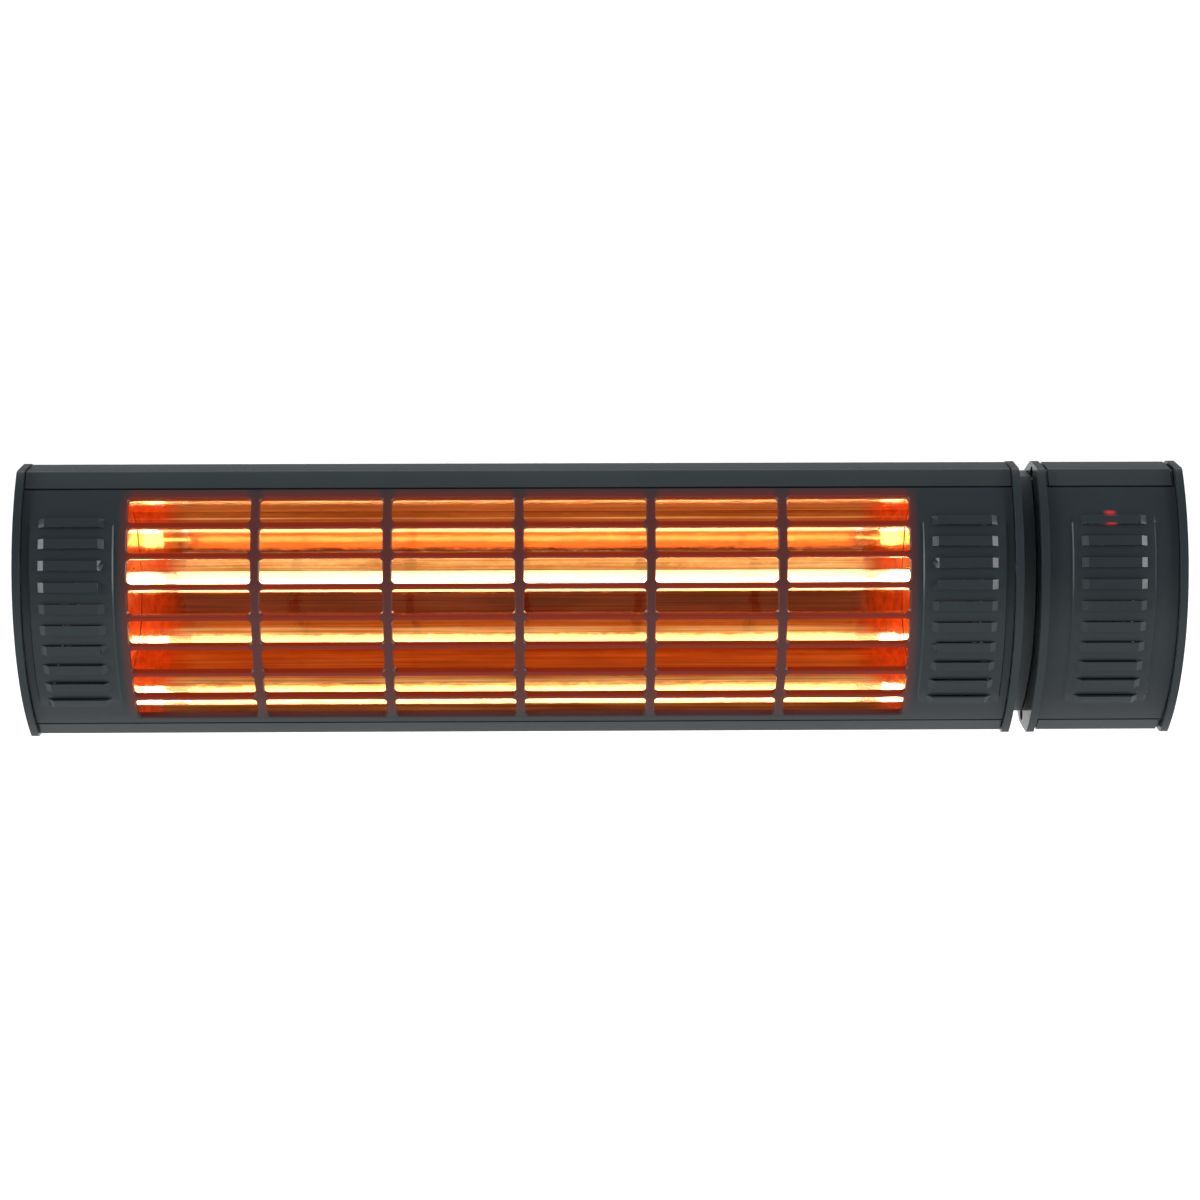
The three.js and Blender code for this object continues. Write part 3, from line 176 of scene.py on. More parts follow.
def add_node(tree, kind, values=None, links=None, stops=None, **settings):
    """Adds one node: settings are its properties, values its inputs, links what feeds them."""
    made = tree.nodes.new(kind)
    for name, value in settings.items():
        setattr(made, name, value)
    for name, value in (values or {}).items():
        made.inputs[name].default_value = value
    for name, source in (links or {}).items():
        tree.links.new(source, made.inputs[name])
    if stops:
        ramp = made.color_ramp
        while len(ramp.elements) < len(stops):
            ramp.elements.new(1.0)
        for element, (place, shade) in zip(ramp.elements, stops):
            element.position = place
            element.color = (*shade, 1.0)
    return made


def start_finish(name, shade, roughness, metallic=0.0, **inputs):
    """A material with its shader set, and the Object coordinates that its patterns read."""
    material = bpy.data.materials.new(name)
    material.use_nodes = True
    tree = material.node_tree
    shader = tree.nodes["Principled BSDF"]
    shader.inputs["Base Color"].default_value = (*shade[:3], 1.0)
    shader.inputs["Roughness"].default_value = roughness
    shader.inputs["Metallic"].default_value = metallic
    for key, value in inputs.items():
        shader.inputs[key.replace("_", " ")].default_value = value
    place = add_node(tree, "ShaderNodeTexCoord").outputs["Object"]
    return material, tree, shader, place


def grain(tree, place, size, detail=2.0, stretch=(1, 1, 1)):
    """Noise whose features are about size metres across, stretched per axis."""
    moved = add_node(
        tree, "ShaderNodeMapping", {"Scale": tuple(1 / (size * s) for s in stretch)},
        {"Vector": place})
    return add_node(
        tree, "ShaderNodeTexNoise", {"Scale": 1.0, "Detail": detail},
        {"Vector": moved.outputs["Vector"]}).outputs["Fac"]


def shade_between(tree, factor, low, high, near=0.3, far=0.7):
    """Turns a factor into a colour between two shades."""
    return add_node(
        tree, "ShaderNodeValToRGB", links={"Fac": factor},
        stops=[(near, low), (far, high)]).outputs["Color"]


def mixed(low, share, high):
    return tuple(a * (1 - share) + b * share for a, b in zip(low[:3], high[:3]))


def scaled(shade, factor):
    return tuple(min(1.0, c * factor) for c in shade[:3])


def spread(tree, factor, low, high, target):
    """Feeds an input with a factor spread between two values."""
    made = add_node(
        tree, "ShaderNodeMapRange", {"To Min": low, "To Max": high}, {"Value": factor})
    tree.links.new(made.outputs["Result"], target)


def emboss(tree, shader, height, depth):
    """Bumps the surface by depth metres."""
    bump = add_node(
        tree, "ShaderNodeBump", {"Strength": 1.0, "Distance": depth}, {"Height": height})
    tree.links.new(bump.outputs["Normal"], shader.inputs["Normal"])


def coloured(tree, shader, factor, low, high, near=0.3, far=0.7):
    """Colours a finish between two shades by a factor."""
    tree.links.new(
        shade_between(tree, factor, low, high, near, far), shader.inputs["Base Color"])


def lit(tree, shader, share, low, high, strength, near=0.0, far=1.0):
    """Gives a finish light of its own, between two colours by a share."""
    tree.links.new(
        shade_between(tree, share, low, high, near, far), shader.inputs["Emission Color"])
    shader.inputs["Emission Strength"].default_value = strength


def band(tree, value, low, high, soft):
    """1 where value lies between low and high, fading over soft on either side."""
    rise = add_node(
        tree, "ShaderNodeMapRange", {"From Min": low - soft, "From Max": low + soft},
        {"Value": value}, interpolation_type="SMOOTHSTEP")
    fall = add_node(
        tree, "ShaderNodeMapRange",
        {"From Min": high - soft, "From Max": high + soft, "To Min": 1.0, "To Max": 0.0},
        {"Value": value}, interpolation_type="SMOOTHSTEP")
    return add_node(
        tree, "ShaderNodeMath", links={0: rise.outputs["Result"], 1: fall.outputs["Result"]},
        operation="MULTIPLY").outputs["Value"]


FINISHES = {}
BLACK = (0, 0, 0)


def stoved_enamel(name, shade):
    """Semi-gloss stoving enamel on pressed steel: a smooth skin with a slight orange peel."""
    material, tree, shader, place = start_finish(name, shade, 0.28, Specular_IOR_Level=0.1)
    patches = grain(tree, place, 60 * MM, 3)
    coloured(tree, shader, patches, scaled(shade, 0.9), scaled(shade, 1.12))
    spread(tree, grain(tree, place, 2.2 * MM, 3), 0.2, 0.28, shader.inputs["Roughness"])
    emboss(tree, shader, grain(tree, place, 2.2 * MM, 1), 0.004 * MM)
    return material, tree, shader, place


LIT_BARS_HALF = 181 * MM  # how far from the middle the guard's bars carry painted red light from the lamp
LIT_BARS_LOW, LIT_BARS_HIGH = -50 * MM, 53 * MM
DIM_POST, LIT_PAST_POST = 1.6 * MM, 5 * MM  # off an upright bar's middle: the painted red light is dim, then full


def guard_enamel(name, sizes, finishes):
    """The housings' enamel, with painted red light of the lamp on the bars that stand before it.
    """
    material, tree, shader, place = stoved_enamel(name, finishes.enamel)
    parts = add_node(tree, "ShaderNodeSeparateXYZ", links={"Vector": place})
    along = band(tree, parts.outputs["X"], -LIT_BARS_HALF, LIT_BARS_HALF, 2.5 * MM)
    upright = band(tree, parts.outputs["Z"], LIT_BARS_LOW, LIT_BARS_HIGH, 5 * MM)
    both = add_node(tree, "ShaderNodeMath", links={0: along, 1: upright}, operation="MULTIPLY")
    from_post = add_node(
        tree, "ShaderNodeMath", {1: sizes.slot_pitch / 2}, {0: parts.outputs["X"]},
        operation="PINGPONG")
    level = add_node(
        tree, "ShaderNodeMapRange",
        {"From Min": DIM_POST, "From Max": LIT_PAST_POST, "To Min": 0.35, "To Max": 1.0},
        {"Value": from_post.outputs["Value"]}, interpolation_type="SMOOTHSTEP")
    share = add_node(
        tree, "ShaderNodeMath", links={0: both.outputs["Value"], 1: level.outputs["Result"]},
        operation="MULTIPLY").outputs["Value"]
    # painted glow: the bars before the lamp get red light of their own
    lit(tree, shader, share, BLACK, finishes.tint[:], 0.8)
    # the enamel is darkened where the painted glow lies, so the red shows
    enamel = finishes.enamel[:]
    coloured(tree, shader, share, enamel, scaled(enamel, 0.15), 0.0, 1.0)
    return material


# where the indicator's painted red light lies on the cover
INDICATOR_X = (268.4 * MM, 272.4 * MM)
TOP_MOUTHS = [(44.8 * MM, 46 * MM), (40.4 * MM, 41.6 * MM)]  # over and under the top louvre


def cover_enamel(name, finishes):
    """The housings' enamel, with painted red light of the indicator on the mouths of the top
    louvre.
    """
    material, tree, shader, place = stoved_enamel(name, finishes.enamel)
    parts = add_node(tree, "ShaderNodeSeparateXYZ", links={"Vector": place})
    along = band(tree, parts.outputs["X"], *INDICATOR_X, 1.6 * MM)
    above, under = (band(tree, parts.outputs["Z"], *mouth, 0.5 * MM) for mouth in TOP_MOUTHS)
    either = add_node(tree, "ShaderNodeMath", links={0: above, 1: under}, operation="ADD")
    share = add_node(
        tree, "ShaderNodeMath", links={0: along, 1: either.outputs["Value"]},
        operation="MULTIPLY").outputs["Value"]
    # painted glow: red light of the indicator on the louvre's mouths
    lit(tree, shader, share, BLACK, finishes.indicator[:], 0.8)
    return material


def satin_paint(name, shade):
    """Satin black paint: darker and duller than the enamel, so the neck reads as a gap."""
    material, tree, shader, place = start_finish(name, shade, 0.42, Specular_IOR_Level=0.2)
    spread(tree, grain(tree, place, 3 * MM, 3), 0.36, 0.5, shader.inputs["Roughness"])
    emboss(tree, shader, grain(tree, place, 0.9 * MM), 0.02 * MM)
    return material


def powder_coat(name, shade):
    """Powder coat: an even texture of fused grains with soft highlights."""
    material, tree, shader, place = start_finish(name, shade, 0.5)
    cells = add_node(
        tree, "ShaderNodeTexVoronoi", {"Scale": 1 / (0.7 * MM)}, {"Vector": place})
    emboss(tree, shader, cells.outputs["Distance"], 0.06 * MM)
    spread(tree, grain(tree, place, 4 * MM, 3), 0.44, 0.58, shader.inputs["Roughness"])
    return material


# painted light of the trough and painted reflection colours of its metal, by height in
# millimetres
PAINTED_GLOW_BANDS = [
    (-49.6, "amber"), (-48, "cream"), (-42.6, "cream"), (-41.4, "ember"), (-34.4, "ember"),
    (-32.6, "cream"), (-27, "cream"), (-26, "amber"), (-21, "amber"), (-19.8, "dusk"),
    (-10.5, "dusk"), (-6, "cream"), (6, "cream"), (10, "dusk"), (19.6, "dusk"), (21.2, "cream"),
    (22.6, "amber"), (27.8, "amber"), (28.6, "cream"), (29.4, "amber")]
PAINTED_REFLECTION_BANDS = [
    (-44.4, "bright"), (-43.6, "straw"), (-41, "straw"), (-39.5, "painted_brown_reflection"), (-34.4, "painted_brown_reflection"),
    (-33, "bright"), (-29.6, "bright"), (-28, "straw"), (-21, "straw"), (-19.8, "painted_brown_reflection"),
    (-10, "painted_brown_reflection"), (-5, "straw"), (8, "straw"), (10.5, "painted_brown_reflection"), (20, "painted_brown_reflection"),
    (21.4, "bright"), (23, "painted_brown_reflection")]
BANDS_HALF = 56 * MM
BANDS_WOBBLE = 0.9 * MM  # how far the bands' edges wander up and down
RED_ENDS = 169 * MM  # past this distance from the middle the trough has a painted red glow


def banded(tree, height, bands, finishes):
    """A finish colour for each height, from a table of bands."""
    level = add_node(
        tree, "ShaderNodeMapRange", {"From Min": -BANDS_HALF, "From Max": BANDS_HALF},
        {"Value": height}).outputs["Result"]
    stops = [((z * MM / BANDS_HALF + 1) / 2, getattr(finishes, key)[:]) for z, key in bands]
    return add_node(
        tree, "ShaderNodeValToRGB", links={"Fac": level}, stops=stops).outputs["Color"]


def rolled_aluminium(name, finishes):
    """Bright-rolled aluminium: fine lines along the trough, with painted reflection colours and
    painted light in bands by height, and a painted red glow at its ends.
    """
    material, tree, shader, place = start_finish(name, finishes.straw, 0.08, 1.0)
    lines = grain(tree, place, 0.7 * MM, 2, (60, 1, 1))
    spread(tree, lines, 0.04, 0.1, shader.inputs["Roughness"])
    waves = grain(tree, place, 9 * MM, 2, (0.8, 1, 1))
    both = add_node(
        tree, "ShaderNodeMath", {1: 0.16}, {0: lines, 2: waves}, operation="MULTIPLY_ADD")
    emboss(tree, shader, both.outputs["Value"], 0.1 * MM)
    parts = add_node(tree, "ShaderNodeSeparateXYZ", links={"Vector": place})
    height = add_node(
        tree, "ShaderNodeMath", {1: BANDS_WOBBLE},
        {0: grain(tree, place, 34 * MM, 3, (2, 1, 1)), 2: parts.outputs["Z"]},
        operation="MULTIPLY_ADD").outputs["Value"]
    level = add_node(
        tree, "ShaderNodeMath", {1: BANDS_WOBBLE / 2}, {0: height},
        operation="SUBTRACT").outputs["Value"]
    # painted reflection: the metal's colour in bands by height
    tree.links.new(banded(tree, level, PAINTED_REFLECTION_BANDS, finishes), shader.inputs["Base Color"])
    # painted light: the lamp's light on the trough, painted in bands by height and made uneven by
    # patches and streaks
    patches = shade_between(
        tree, grain(tree, place, 24 * MM, 3, (2, 0.5, 0.5)), (0.6, 0.42, 0.32), (1, 1, 1))
    streaks = shade_between(
        tree, grain(tree, place, 1.1 * MM, 2, (90, 1, 1)), (0.5, 0.42, 0.36), (1.25, 1.25, 1.2))
    glow_unevenness = add_node(
        tree, "ShaderNodeMix", {0: 1.0}, {6: streaks, 7: patches}, data_type="RGBA",
        blend_type="MULTIPLY").outputs[2]
    patchy = add_node(
        tree, "ShaderNodeMix", {0: 1.0},
        {6: banded(tree, level, PAINTED_GLOW_BANDS, finishes), 7: glow_unevenness}, data_type="RGBA",
        blend_type="MULTIPLY").outputs[2]
    # painted glow: red light towards the trough's ends
    middle = band(tree, parts.outputs["X"], -RED_ENDS, RED_ENDS, 7 * MM)
    ends = shade_between(
        tree, grain(tree, place, 6 * MM, 3, (0.4, 1, 1)), scaled(finishes.heat, 0.5),
        finishes.heat[:])
    share = add_node(
        tree, "ShaderNodeMath", {1: 0.85, 2: 0.15}, {0: middle}, operation="MULTIPLY_ADD")
    glow = add_node(
        tree, "ShaderNodeMix", links={0: share.outputs["Value"], 6: ends, 7: patchy},
        data_type="RGBA")
    tree.links.new(glow.outputs[2], shader.inputs["Emission Color"])
    shader.inputs["Emission Strength"].default_value = 1.0
    return material


def coated_quartz(name, sizes, finishes):
    """Drawn quartz, clear at its ends, with a gold coat on the middle that glows orange."""
    material, tree, shader, place = start_finish(name, finishes.tube, 0.05, IOR=1.46)
    parts = add_node(tree, "ShaderNodeSeparateXYZ", links={"Vector": place})
    coat = band(tree, parts.outputs["X"], -sizes.coat_half, sizes.coat_half, 1.5 * MM)
    cloudy = grain(tree, place, 14 * MM, 2, (3, 1, 1))
    patchy = add_node(
        tree, "ShaderNodeMath", {1: 0.5}, {0: cloudy, 2: coat}, operation="MULTIPLY_ADD")
    coloured(
        tree, shader, patchy.outputs["Value"], mixed(finishes.tube, 0.8, (1, 1, 1)),
        finishes.tube[:], 0.6, 1.4 / 1.5)
    lit(tree, shader, coat, scaled(finishes.tube, 0.15), finishes.tube[:], 1.05)
    spread(tree, coat, 0.12, 0.5, shader.inputs["Alpha"])
    return material


def hot_tungsten(name, finishes):
    """Tungsten at working heat: nearly white, a little yellower where it is cooler."""
    material, tree, shader, place = start_finish(name, finishes.filament, 0.5)
    lit(
        tree, shader, grain(tree, place, 22 * MM), mixed(finishes.filament, 0.35, finishes.tube),
        finishes.filament[:], 30.0, 0.3, 0.7)
    return material


def steatite(name, shade):
    """Pressed and fired steatite: matt, off-white, with faint tan scorching."""
    material, tree, shader, place = start_finish(name, shade, 0.62)
    coloured(
        tree, shader, grain(tree, place, 8 * MM, 4), mixed(shade, 0.5, linear("c8a878")),
        shade[:], 0.35, 0.6)
    emboss(tree, shader, grain(tree, place, 0.5 * MM, 3), 0.03 * MM)
    return material


def zinc_plate(name):
    """Bright zinc plate: grey-silver with a blue-yellow passivated cast in patches."""
    material, tree, shader, place = start_finish(name, linear("b9bcc0"), 0.3, 1.0)
    coloured(tree, shader, grain(tree, place, 5 * MM, 3), linear("a9afb6"), linear("c9c4b4"))
    spread(tree, grain(tree, place, 1.2 * MM, 3), 0.24, 0.4, shader.inputs["Roughness"])
    emboss(tree, shader, grain(tree, place, 0.4 * MM, 2), 0.008 * MM)
    return material


def blackened_steel(name):
    """Hot-blackened steel: near-black oxide, with bare metal showing on worn places."""
    material, tree, shader, place = start_finish(name, linear("232426"), 0.38, 0.85)
    coloured(
        tree, shader, grain(tree, place, 1.6 * MM, 4), linear("1c1d1f"), linear("45474a"), 0.45,
        0.8)
    spread(tree, grain(tree, place, 0.9 * MM, 3), 0.3, 0.5, shader.inputs["Roughness"])
    return material


def glass_braid(name):
    """Silicone-dressed glass-fibre braid over wire: a fine diamond weave, cream coloured."""
    material, tree, shader, place = start_finish(name, linear("cfc7b0"), 0.8)
    slanted = add_node(
        tree, "ShaderNodeMapping", {"Rotation": (0.6, 0.6, 0.785)}, {"Vector": place})
    weave = add_node(
        tree, "ShaderNodeTexChecker", {"Scale": 1 / (0.7 * MM)},
        {"Vector": slanted.outputs["Vector"]}).outputs["Fac"]
    coloured(tree, shader, weave, linear("b3aa92"), linear("ddd6c2"), 0.0, 1.0)
    emboss(tree, shader, weave, 0.08 * MM)
    return material


def solder_mask(name):
    """Printed board: green solder mask over glass cloth, with copper tracks showing lighter."""
    material, tree, shader, place = start_finish(name, linear("17552f"), 0.35)
    tracks = add_node(
        tree, "ShaderNodeTexBrick", {"Scale": 1 / (9 * MM), "Mortar Size": 0.06},
        {"Vector": add_node(
            tree, "ShaderNodeMapping", {"Rotation": (math.pi / 2, 0, 0)},
            {"Vector": place}).outputs["Vector"]}).outputs["Fac"]
    coloured(tree, shader, tracks, linear("144c29"), linear("2b7d47"), 0.0, 1.0)
    emboss(tree, shader, tracks, 0.035 * MM)
    return material


def moulded_plastic(name, shade, roughness, texture=0.02):
    """Injection-moulded thermoplastic: a spark-eroded texture with soft sheen."""
    material, tree, shader, place = start_finish(name, shade, roughness)
    patches = grain(tree, place, 12 * MM, 2)
    coloured(tree, shader, patches, scaled(shade, 0.9), scaled(shade, 1.1))
    spread(
        tree, grain(tree, place, 1 * MM, 3), roughness - 0.06, roughness + 0.08,
        shader.inputs["Roughness"])
    emboss(tree, shader, grain(tree, place, 0.35 * MM, 2), texture * MM)
    return material


def lit_lens(name):
    """Diffused red epoxy lens of a lamp that is on: bright in its core, deeper at the rim."""
    material, tree, shader, place = start_finish(name, linear("d8140c"), 0.25)
    lit(
        tree, shader, grain(tree, place, 2 * MM), linear("ff2010"), linear("ff5a3c"), 3.0, 0.3,
        0.7)
    return material


def pressed_fibre(name):
    """Vulcanised fibre: brown, matt, with short darker strands."""
    material, tree, shader, place = start_finish(name, linear("6a5138"), 0.75)
    strands = grain(tree, place, 0.9 * MM, 3, (1, 3, 1))
    coloured(tree, shader, strands, linear("54402c"), linear("7d6246"))
    return material


def make_finishes(sizes, finishes):
    """All finishes by the name that the pieces ask for."""
    FINISHES.update({
        "enamel": stoved_enamel("stoved_enamel", finishes.enamel)[0],
        "guard": guard_enamel("guard_enamel", sizes, finishes),
        "cover": cover_enamel("cover_enamel", finishes),
        "neck": satin_paint("satin_paint", finishes.neck),
        "powder": powder_coat("powder_coat", finishes.bracket),
        "reflector": rolled_aluminium("bright_rolled_aluminium", finishes),
        "quartz": coated_quartz("gold_coated_quartz", sizes, finishes),
        "filament": hot_tungsten("white_hot_tungsten", finishes),
        "ceramic": steatite("fired_steatite", finishes.ceramic),
        "zinc": zinc_plate("bright_zinc_plate"),
        "black_steel": blackened_steel("blackened_steel"),
        "braid": glass_braid("glass_fibre_braid"),
        "board": solder_mask("solder_mask_on_glass_board"),
        "black_plastic": moulded_plastic("moulded_black_polyamide", linear("191a1c"), 0.5),
        "white_plastic": moulded_plastic("moulded_white_polyamide", linear("d3d1c9"), 0.45),
        "grey_plastic": moulded_plastic("moulded_grey_abs", linear("8b8f94"), 0.4, 0.01),
        "red_lens": lit_lens("lit_red_epoxy"),
        "fibre": pressed_fibre("vulcanised_fibre"),
    })


# ---------- making pieces ----------


def finish_piece(name, bm, finish, body, replaces=(), sharp=35):
    """Turns a finished bmesh into a piece that rides on a body."""
    mesh = bpy.data.meshes.new(name)
    bm.to_mesh(mesh)
    bm.free()
    for polygon in mesh.polygons:
        polygon.use_smooth = True
    mesh.set_sharp_from_angle(angle=math.radians(sharp))
    mesh.materials.append(FINISHES[finish])
    piece = bpy.data.objects.new(name, mesh)
    bpy.context.scene.collection.objects.link(piece)
    flats = piece.modifiers.new("flats", "WEIGHTED_NORMAL")
    flats.keep_sharp = True
    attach(piece, body)
    if replaces:
        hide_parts(*replaces)


def dress(node, bm, finish, body=HEATER, sharp=35):
    """Turns a finished bmesh into the piece that takes a node's place."""
    finish_piece(f"{node}_dressed", bm, finish, body, (node,), sharp)


def only(kind, geom):
    """The vertices, or the edges, among what an operator made."""
    return [g for g in geom if isinstance(g, kind)]


def clean(bm, distance=NEAR / 10):
    """Merges doubles and turns every face outwards."""
    bmesh.ops.remove_doubles(bm, verts=bm.verts, dist=distance)
    bmesh.ops.recalc_face_normals(bm, faces=bm.faces)


def round_edges(bm, edges, width, segments=2):
    bmesh.ops.bevel(
        bm, geom=edges, offset=width, offset_type="OFFSET", segments=segments, profile=0.5,
        affect="EDGES", clamp_overlap=True, material=-1)


def softened(node, width, finish, body, fold=35):
    """A node's own shape, its folds and rims rounded by a width in millimetres."""
    bm = bmesh.new()
    bm.from_mesh(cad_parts[node].data)
    clean(bm)
    bmesh.ops.dissolve_limit(
        bm, angle_limit=math.radians(0.5), verts=bm.verts, edges=bm.edges)
    sharp = [e for e in bm.edges if len(e.link_faces) == 2
             and e.calc_face_angle(0) > math.radians(fold)]
    round_edges(bm, sharp, width * MM)
    dress(node, bm, finish, body)


def turned(bm, profile, centre, axis, steps=32):
    """Spins a profile of (radius, along) about an axis through centre."""
    along = Vector(axis)
    across = along.orthogonal().normalized()
    verts = [bm.verts.new(centre + across * r + along * a) for r, a in profile]
    edges = [bm.edges.new(pair) for pair in zip(verts, verts[1:])]
    if profile[0][0] > 0 and profile[-1][0] > 0:
        edges.append(bm.edges.new((verts[-1], verts[0])))
    bmesh.ops.spin(
        bm, geom=verts + edges, cent=centre, axis=along, angle=2 * math.pi, steps=steps,
        use_merge=True, use_duplicate=False)


def cut_along(bm, axis, places, faces):
    """Cuts faces with planes across one axis at the given places."""
    normal = Vector((1, 0, 0)) if axis == 0 else Vector((0, 1, 0))
    for place in places:
        kept = [f for f in faces(bm) if min(v.co[axis] for v in f.verts) < place - NEAR
                and max(v.co[axis] for v in f.verts) > place + NEAR]
        edges = {e for f in kept for e in f.edges}
        verts = {v for f in kept for v in f.verts}
        bmesh.ops.bisect_plane(
            bm, geom=[*verts, *edges, *kept], dist=NEAR / 10, plane_co=normal * place,
            plane_no=normal)


def inside(centre, half_x, half_s):
    """Chooses the faces whose middle lies within a rectangle."""
    def within(face):
        middle = face.calc_center_median()
        return abs(middle.x - centre) < half_x and abs(middle.y) < half_s
    return lambda bm: [f for f in bm.faces if within(f)]


# ---------- curved front sheets ----------


COLLAR_SEGMENTS = 20
ROLL_TURNS = (30, 60, 90)  # degrees at which the rolled edge is bent


def slot_collar(bm, x, s, sizes):
    """The rolled and turned-in edge of one guard slot, drawn flat: x along, y up the arc."""
    corner, roll = sizes.slot_corner, sizes.slot_roll
    outer = corner + roll
    ring = bmesh.ops.create_circle(
        bm, cap_ends=False, segments=COLLAR_SEGMENTS, radius=outer)["verts"]
    bmesh.ops.rotate(
        bm, verts=ring, cent=(0, 0, 0), matrix=Matrix.Rotation(math.pi / COLLAR_SEGMENTS, 3, "Z"))
    reach_x = sizes.slot_width / 2 - corner
    reach_s = sizes.slot_height / 2 - corner
    centres = {}
    for vert in ring:
        centre = Vector((
            x + math.copysign(reach_x, vert.co.x), s + math.copysign(reach_s, vert.co.y), 0))
        vert.co = centre + vert.co
        centres[vert] = centre
    rim = list({e for v in ring for e in v.link_edges})
    edges, radius = rim, outer
    steps = [(outer - roll * math.sin(math.radians(t)), roll - roll * math.cos(math.radians(t)))
             for t in ROLL_TURNS]
    for next_radius, next_depth in [*steps, (corner, sizes.slot_depth)]:
        made = bmesh.ops.extrude_edge_only(bm, edges=edges)["geom"]
        verts = only(bmesh.types.BMVert, made)
        edges = [e for e in only(bmesh.types.BMEdge, made) if all(v in verts for v in e.verts)]
        for vert in verts:
            nearest = min(centres.values(), key=lambda c: (c.xy - vert.co.xy).length)
            spoke = (vert.co.xy - nearest.xy) * (next_radius / radius)
            vert.co = Vector((nearest.x + spoke.x, nearest.y + spoke.y, -next_depth))
        radius = next_radius
    return rim


def front_sheet(sizes, low, high, vents, slots):
    """A front sheet with its slots and vent panels, laid flat, pressed and then rolled."""
    bm = bmesh.new()
    half = sizes.sheet_edge * sizes.front_radius
    sheet = bmesh.ops.create_grid(bm, x_segments=1, y_segments=1, size=0.5)["verts"]
    bmesh.ops.scale(bm, vec=(high - low, 2 * half, 1), verts=sheet)
    bmesh.ops.translate(bm, vec=((low + high) / 2, 0, 0), verts=sheet)
    border = list(bm.edges)
    if slots:
        bmesh.ops.delete(bm, geom=bm.faces[:], context="FACES_ONLY")
        rims = []
        for row in range(sizes.slot_rows):
            s = (row - (sizes.slot_rows - 1) / 2) * sizes.slot_angle * sizes.front_radius
            for column in range(sizes.slot_columns):
                x = (column - (sizes.slot_columns - 1) / 2) * sizes.slot_pitch
                rims += slot_collar(bm, x, s, sizes)
        bmesh.ops.triangle_fill(bm, use_beauty=True, edges=border + rims, normal=(0, 0, 1))
    for centre in vents:
        press_panel_lines(bm, centre, sizes)
    louvred = [inside(c, sizes.louvre_length / 2, louvre_reach(sizes)) for c in vents]
    step = sizes.slot_angle * sizes.front_radius / 4

    def plain(mesh):
        busy = {f for choose in louvred for f in choose(mesh)}
        return [f for f in mesh.faces if f not in busy]

    lines = int(half / step)
    cut_along(bm, 1, [i * step for i in range(-lines, lines + 1)], plain)
    bmesh.ops.triangulate(bm, faces=[f for f in bm.faces if len(f.verts) > 4])
    bmesh.ops.recalc_face_normals(bm, faces=bm.faces)
    largest = max(bm.faces, key=lambda f: f.calc_area())
    if largest.normal.z < 0:
        bmesh.ops.reverse_faces(bm, faces=bm.faces)
    for centre in vents:
        press_panel(bm, centre, sizes)
    bm.normal_update()
    bmesh.ops.reverse_faces(bm, faces=[f for f in bm.faces if f.normal.z < -0.1])
    bmesh.ops.solidify(bm, geom=bm.faces[:], thickness=sizes.sheet)
    roll_up(bm, sizes)
    return bm


def louvre_reach(sizes):
    """How far up and down the arc the louvres reach from a panel's middle."""
    rows = (sizes.louvres - 1) / 2
    return rows * sizes.louvre_angle * sizes.front_radius + sizes.louvre_height / 2


# distances from a vent panel's upright border, with the share of its height there
SIDE_STEPS = [(0.0, 0.0), (0.3 * MM, 0.12), (0.9 * MM, 0.88), (1.2 * MM, 1.0)]


def end_steps(sizes):
    """The same from its upper and lower borders, where the panel fades into the sheet."""
    turns = [i / 6 for i in range(7)]
    return [(t * sizes.vent_fade, t * t * (3 - 2 * t)) for t in turns]


def share_at(steps, inset):
    """The share of a panel's height that is reached at a distance from its border."""
    for (near, low), (far, high) in zip(steps, steps[1:]):
        if near <= inset < far:
            return low + (high - low) * (inset - near) / (far - near)
    return 1.0 if inset > 0 else 0.0


def panel_lines(sizes):
    """From a vent panel's middle: its sides, its ends, a ramp's foot and top, a louvre's edge."""
    foot = sizes.louvre_length / 2
    return (sizes.vent_width / 2, sizes.vent_half_angle * sizes.front_radius, foot,
            foot - sizes.louvre_ramp, sizes.louvre_height / 2)


def press_panel_lines(bm, centre, sizes):
    """Cuts the lines that a vent panel and its louvres are pressed along."""
    half_x, half_s, foot, top, half = panel_lines(sizes)
    uprights = [half_x - inset for inset, _ in SIDE_STEPS] + [foot, top]
    levels = [half_s - inset for inset, _ in end_steps(sizes)]
    cut_along(
        bm, 0, [centre + side * u for side in (-1, 1) for u in uprights], lambda m: list(m.faces))
    cut_along(bm, 1, [side * v for side in (-1, 1) for v in levels], inside(centre, half_x, 1))
    cut_along(
        bm, 1, [row + side * half for row in louvre_rows(sizes) for side in (-1, 1)],
        inside(centre, half_x, half_s))


def louvre_rows(sizes):
    """Where the louvres lie up the arc."""
    return [(i - (sizes.louvres - 1) / 2) * sizes.louvre_angle * sizes.front_radius
            for i in range(sizes.louvres)]


FOLD_ROUNDING = 0.5 * MM  # of the folds between a louvre and its ramps


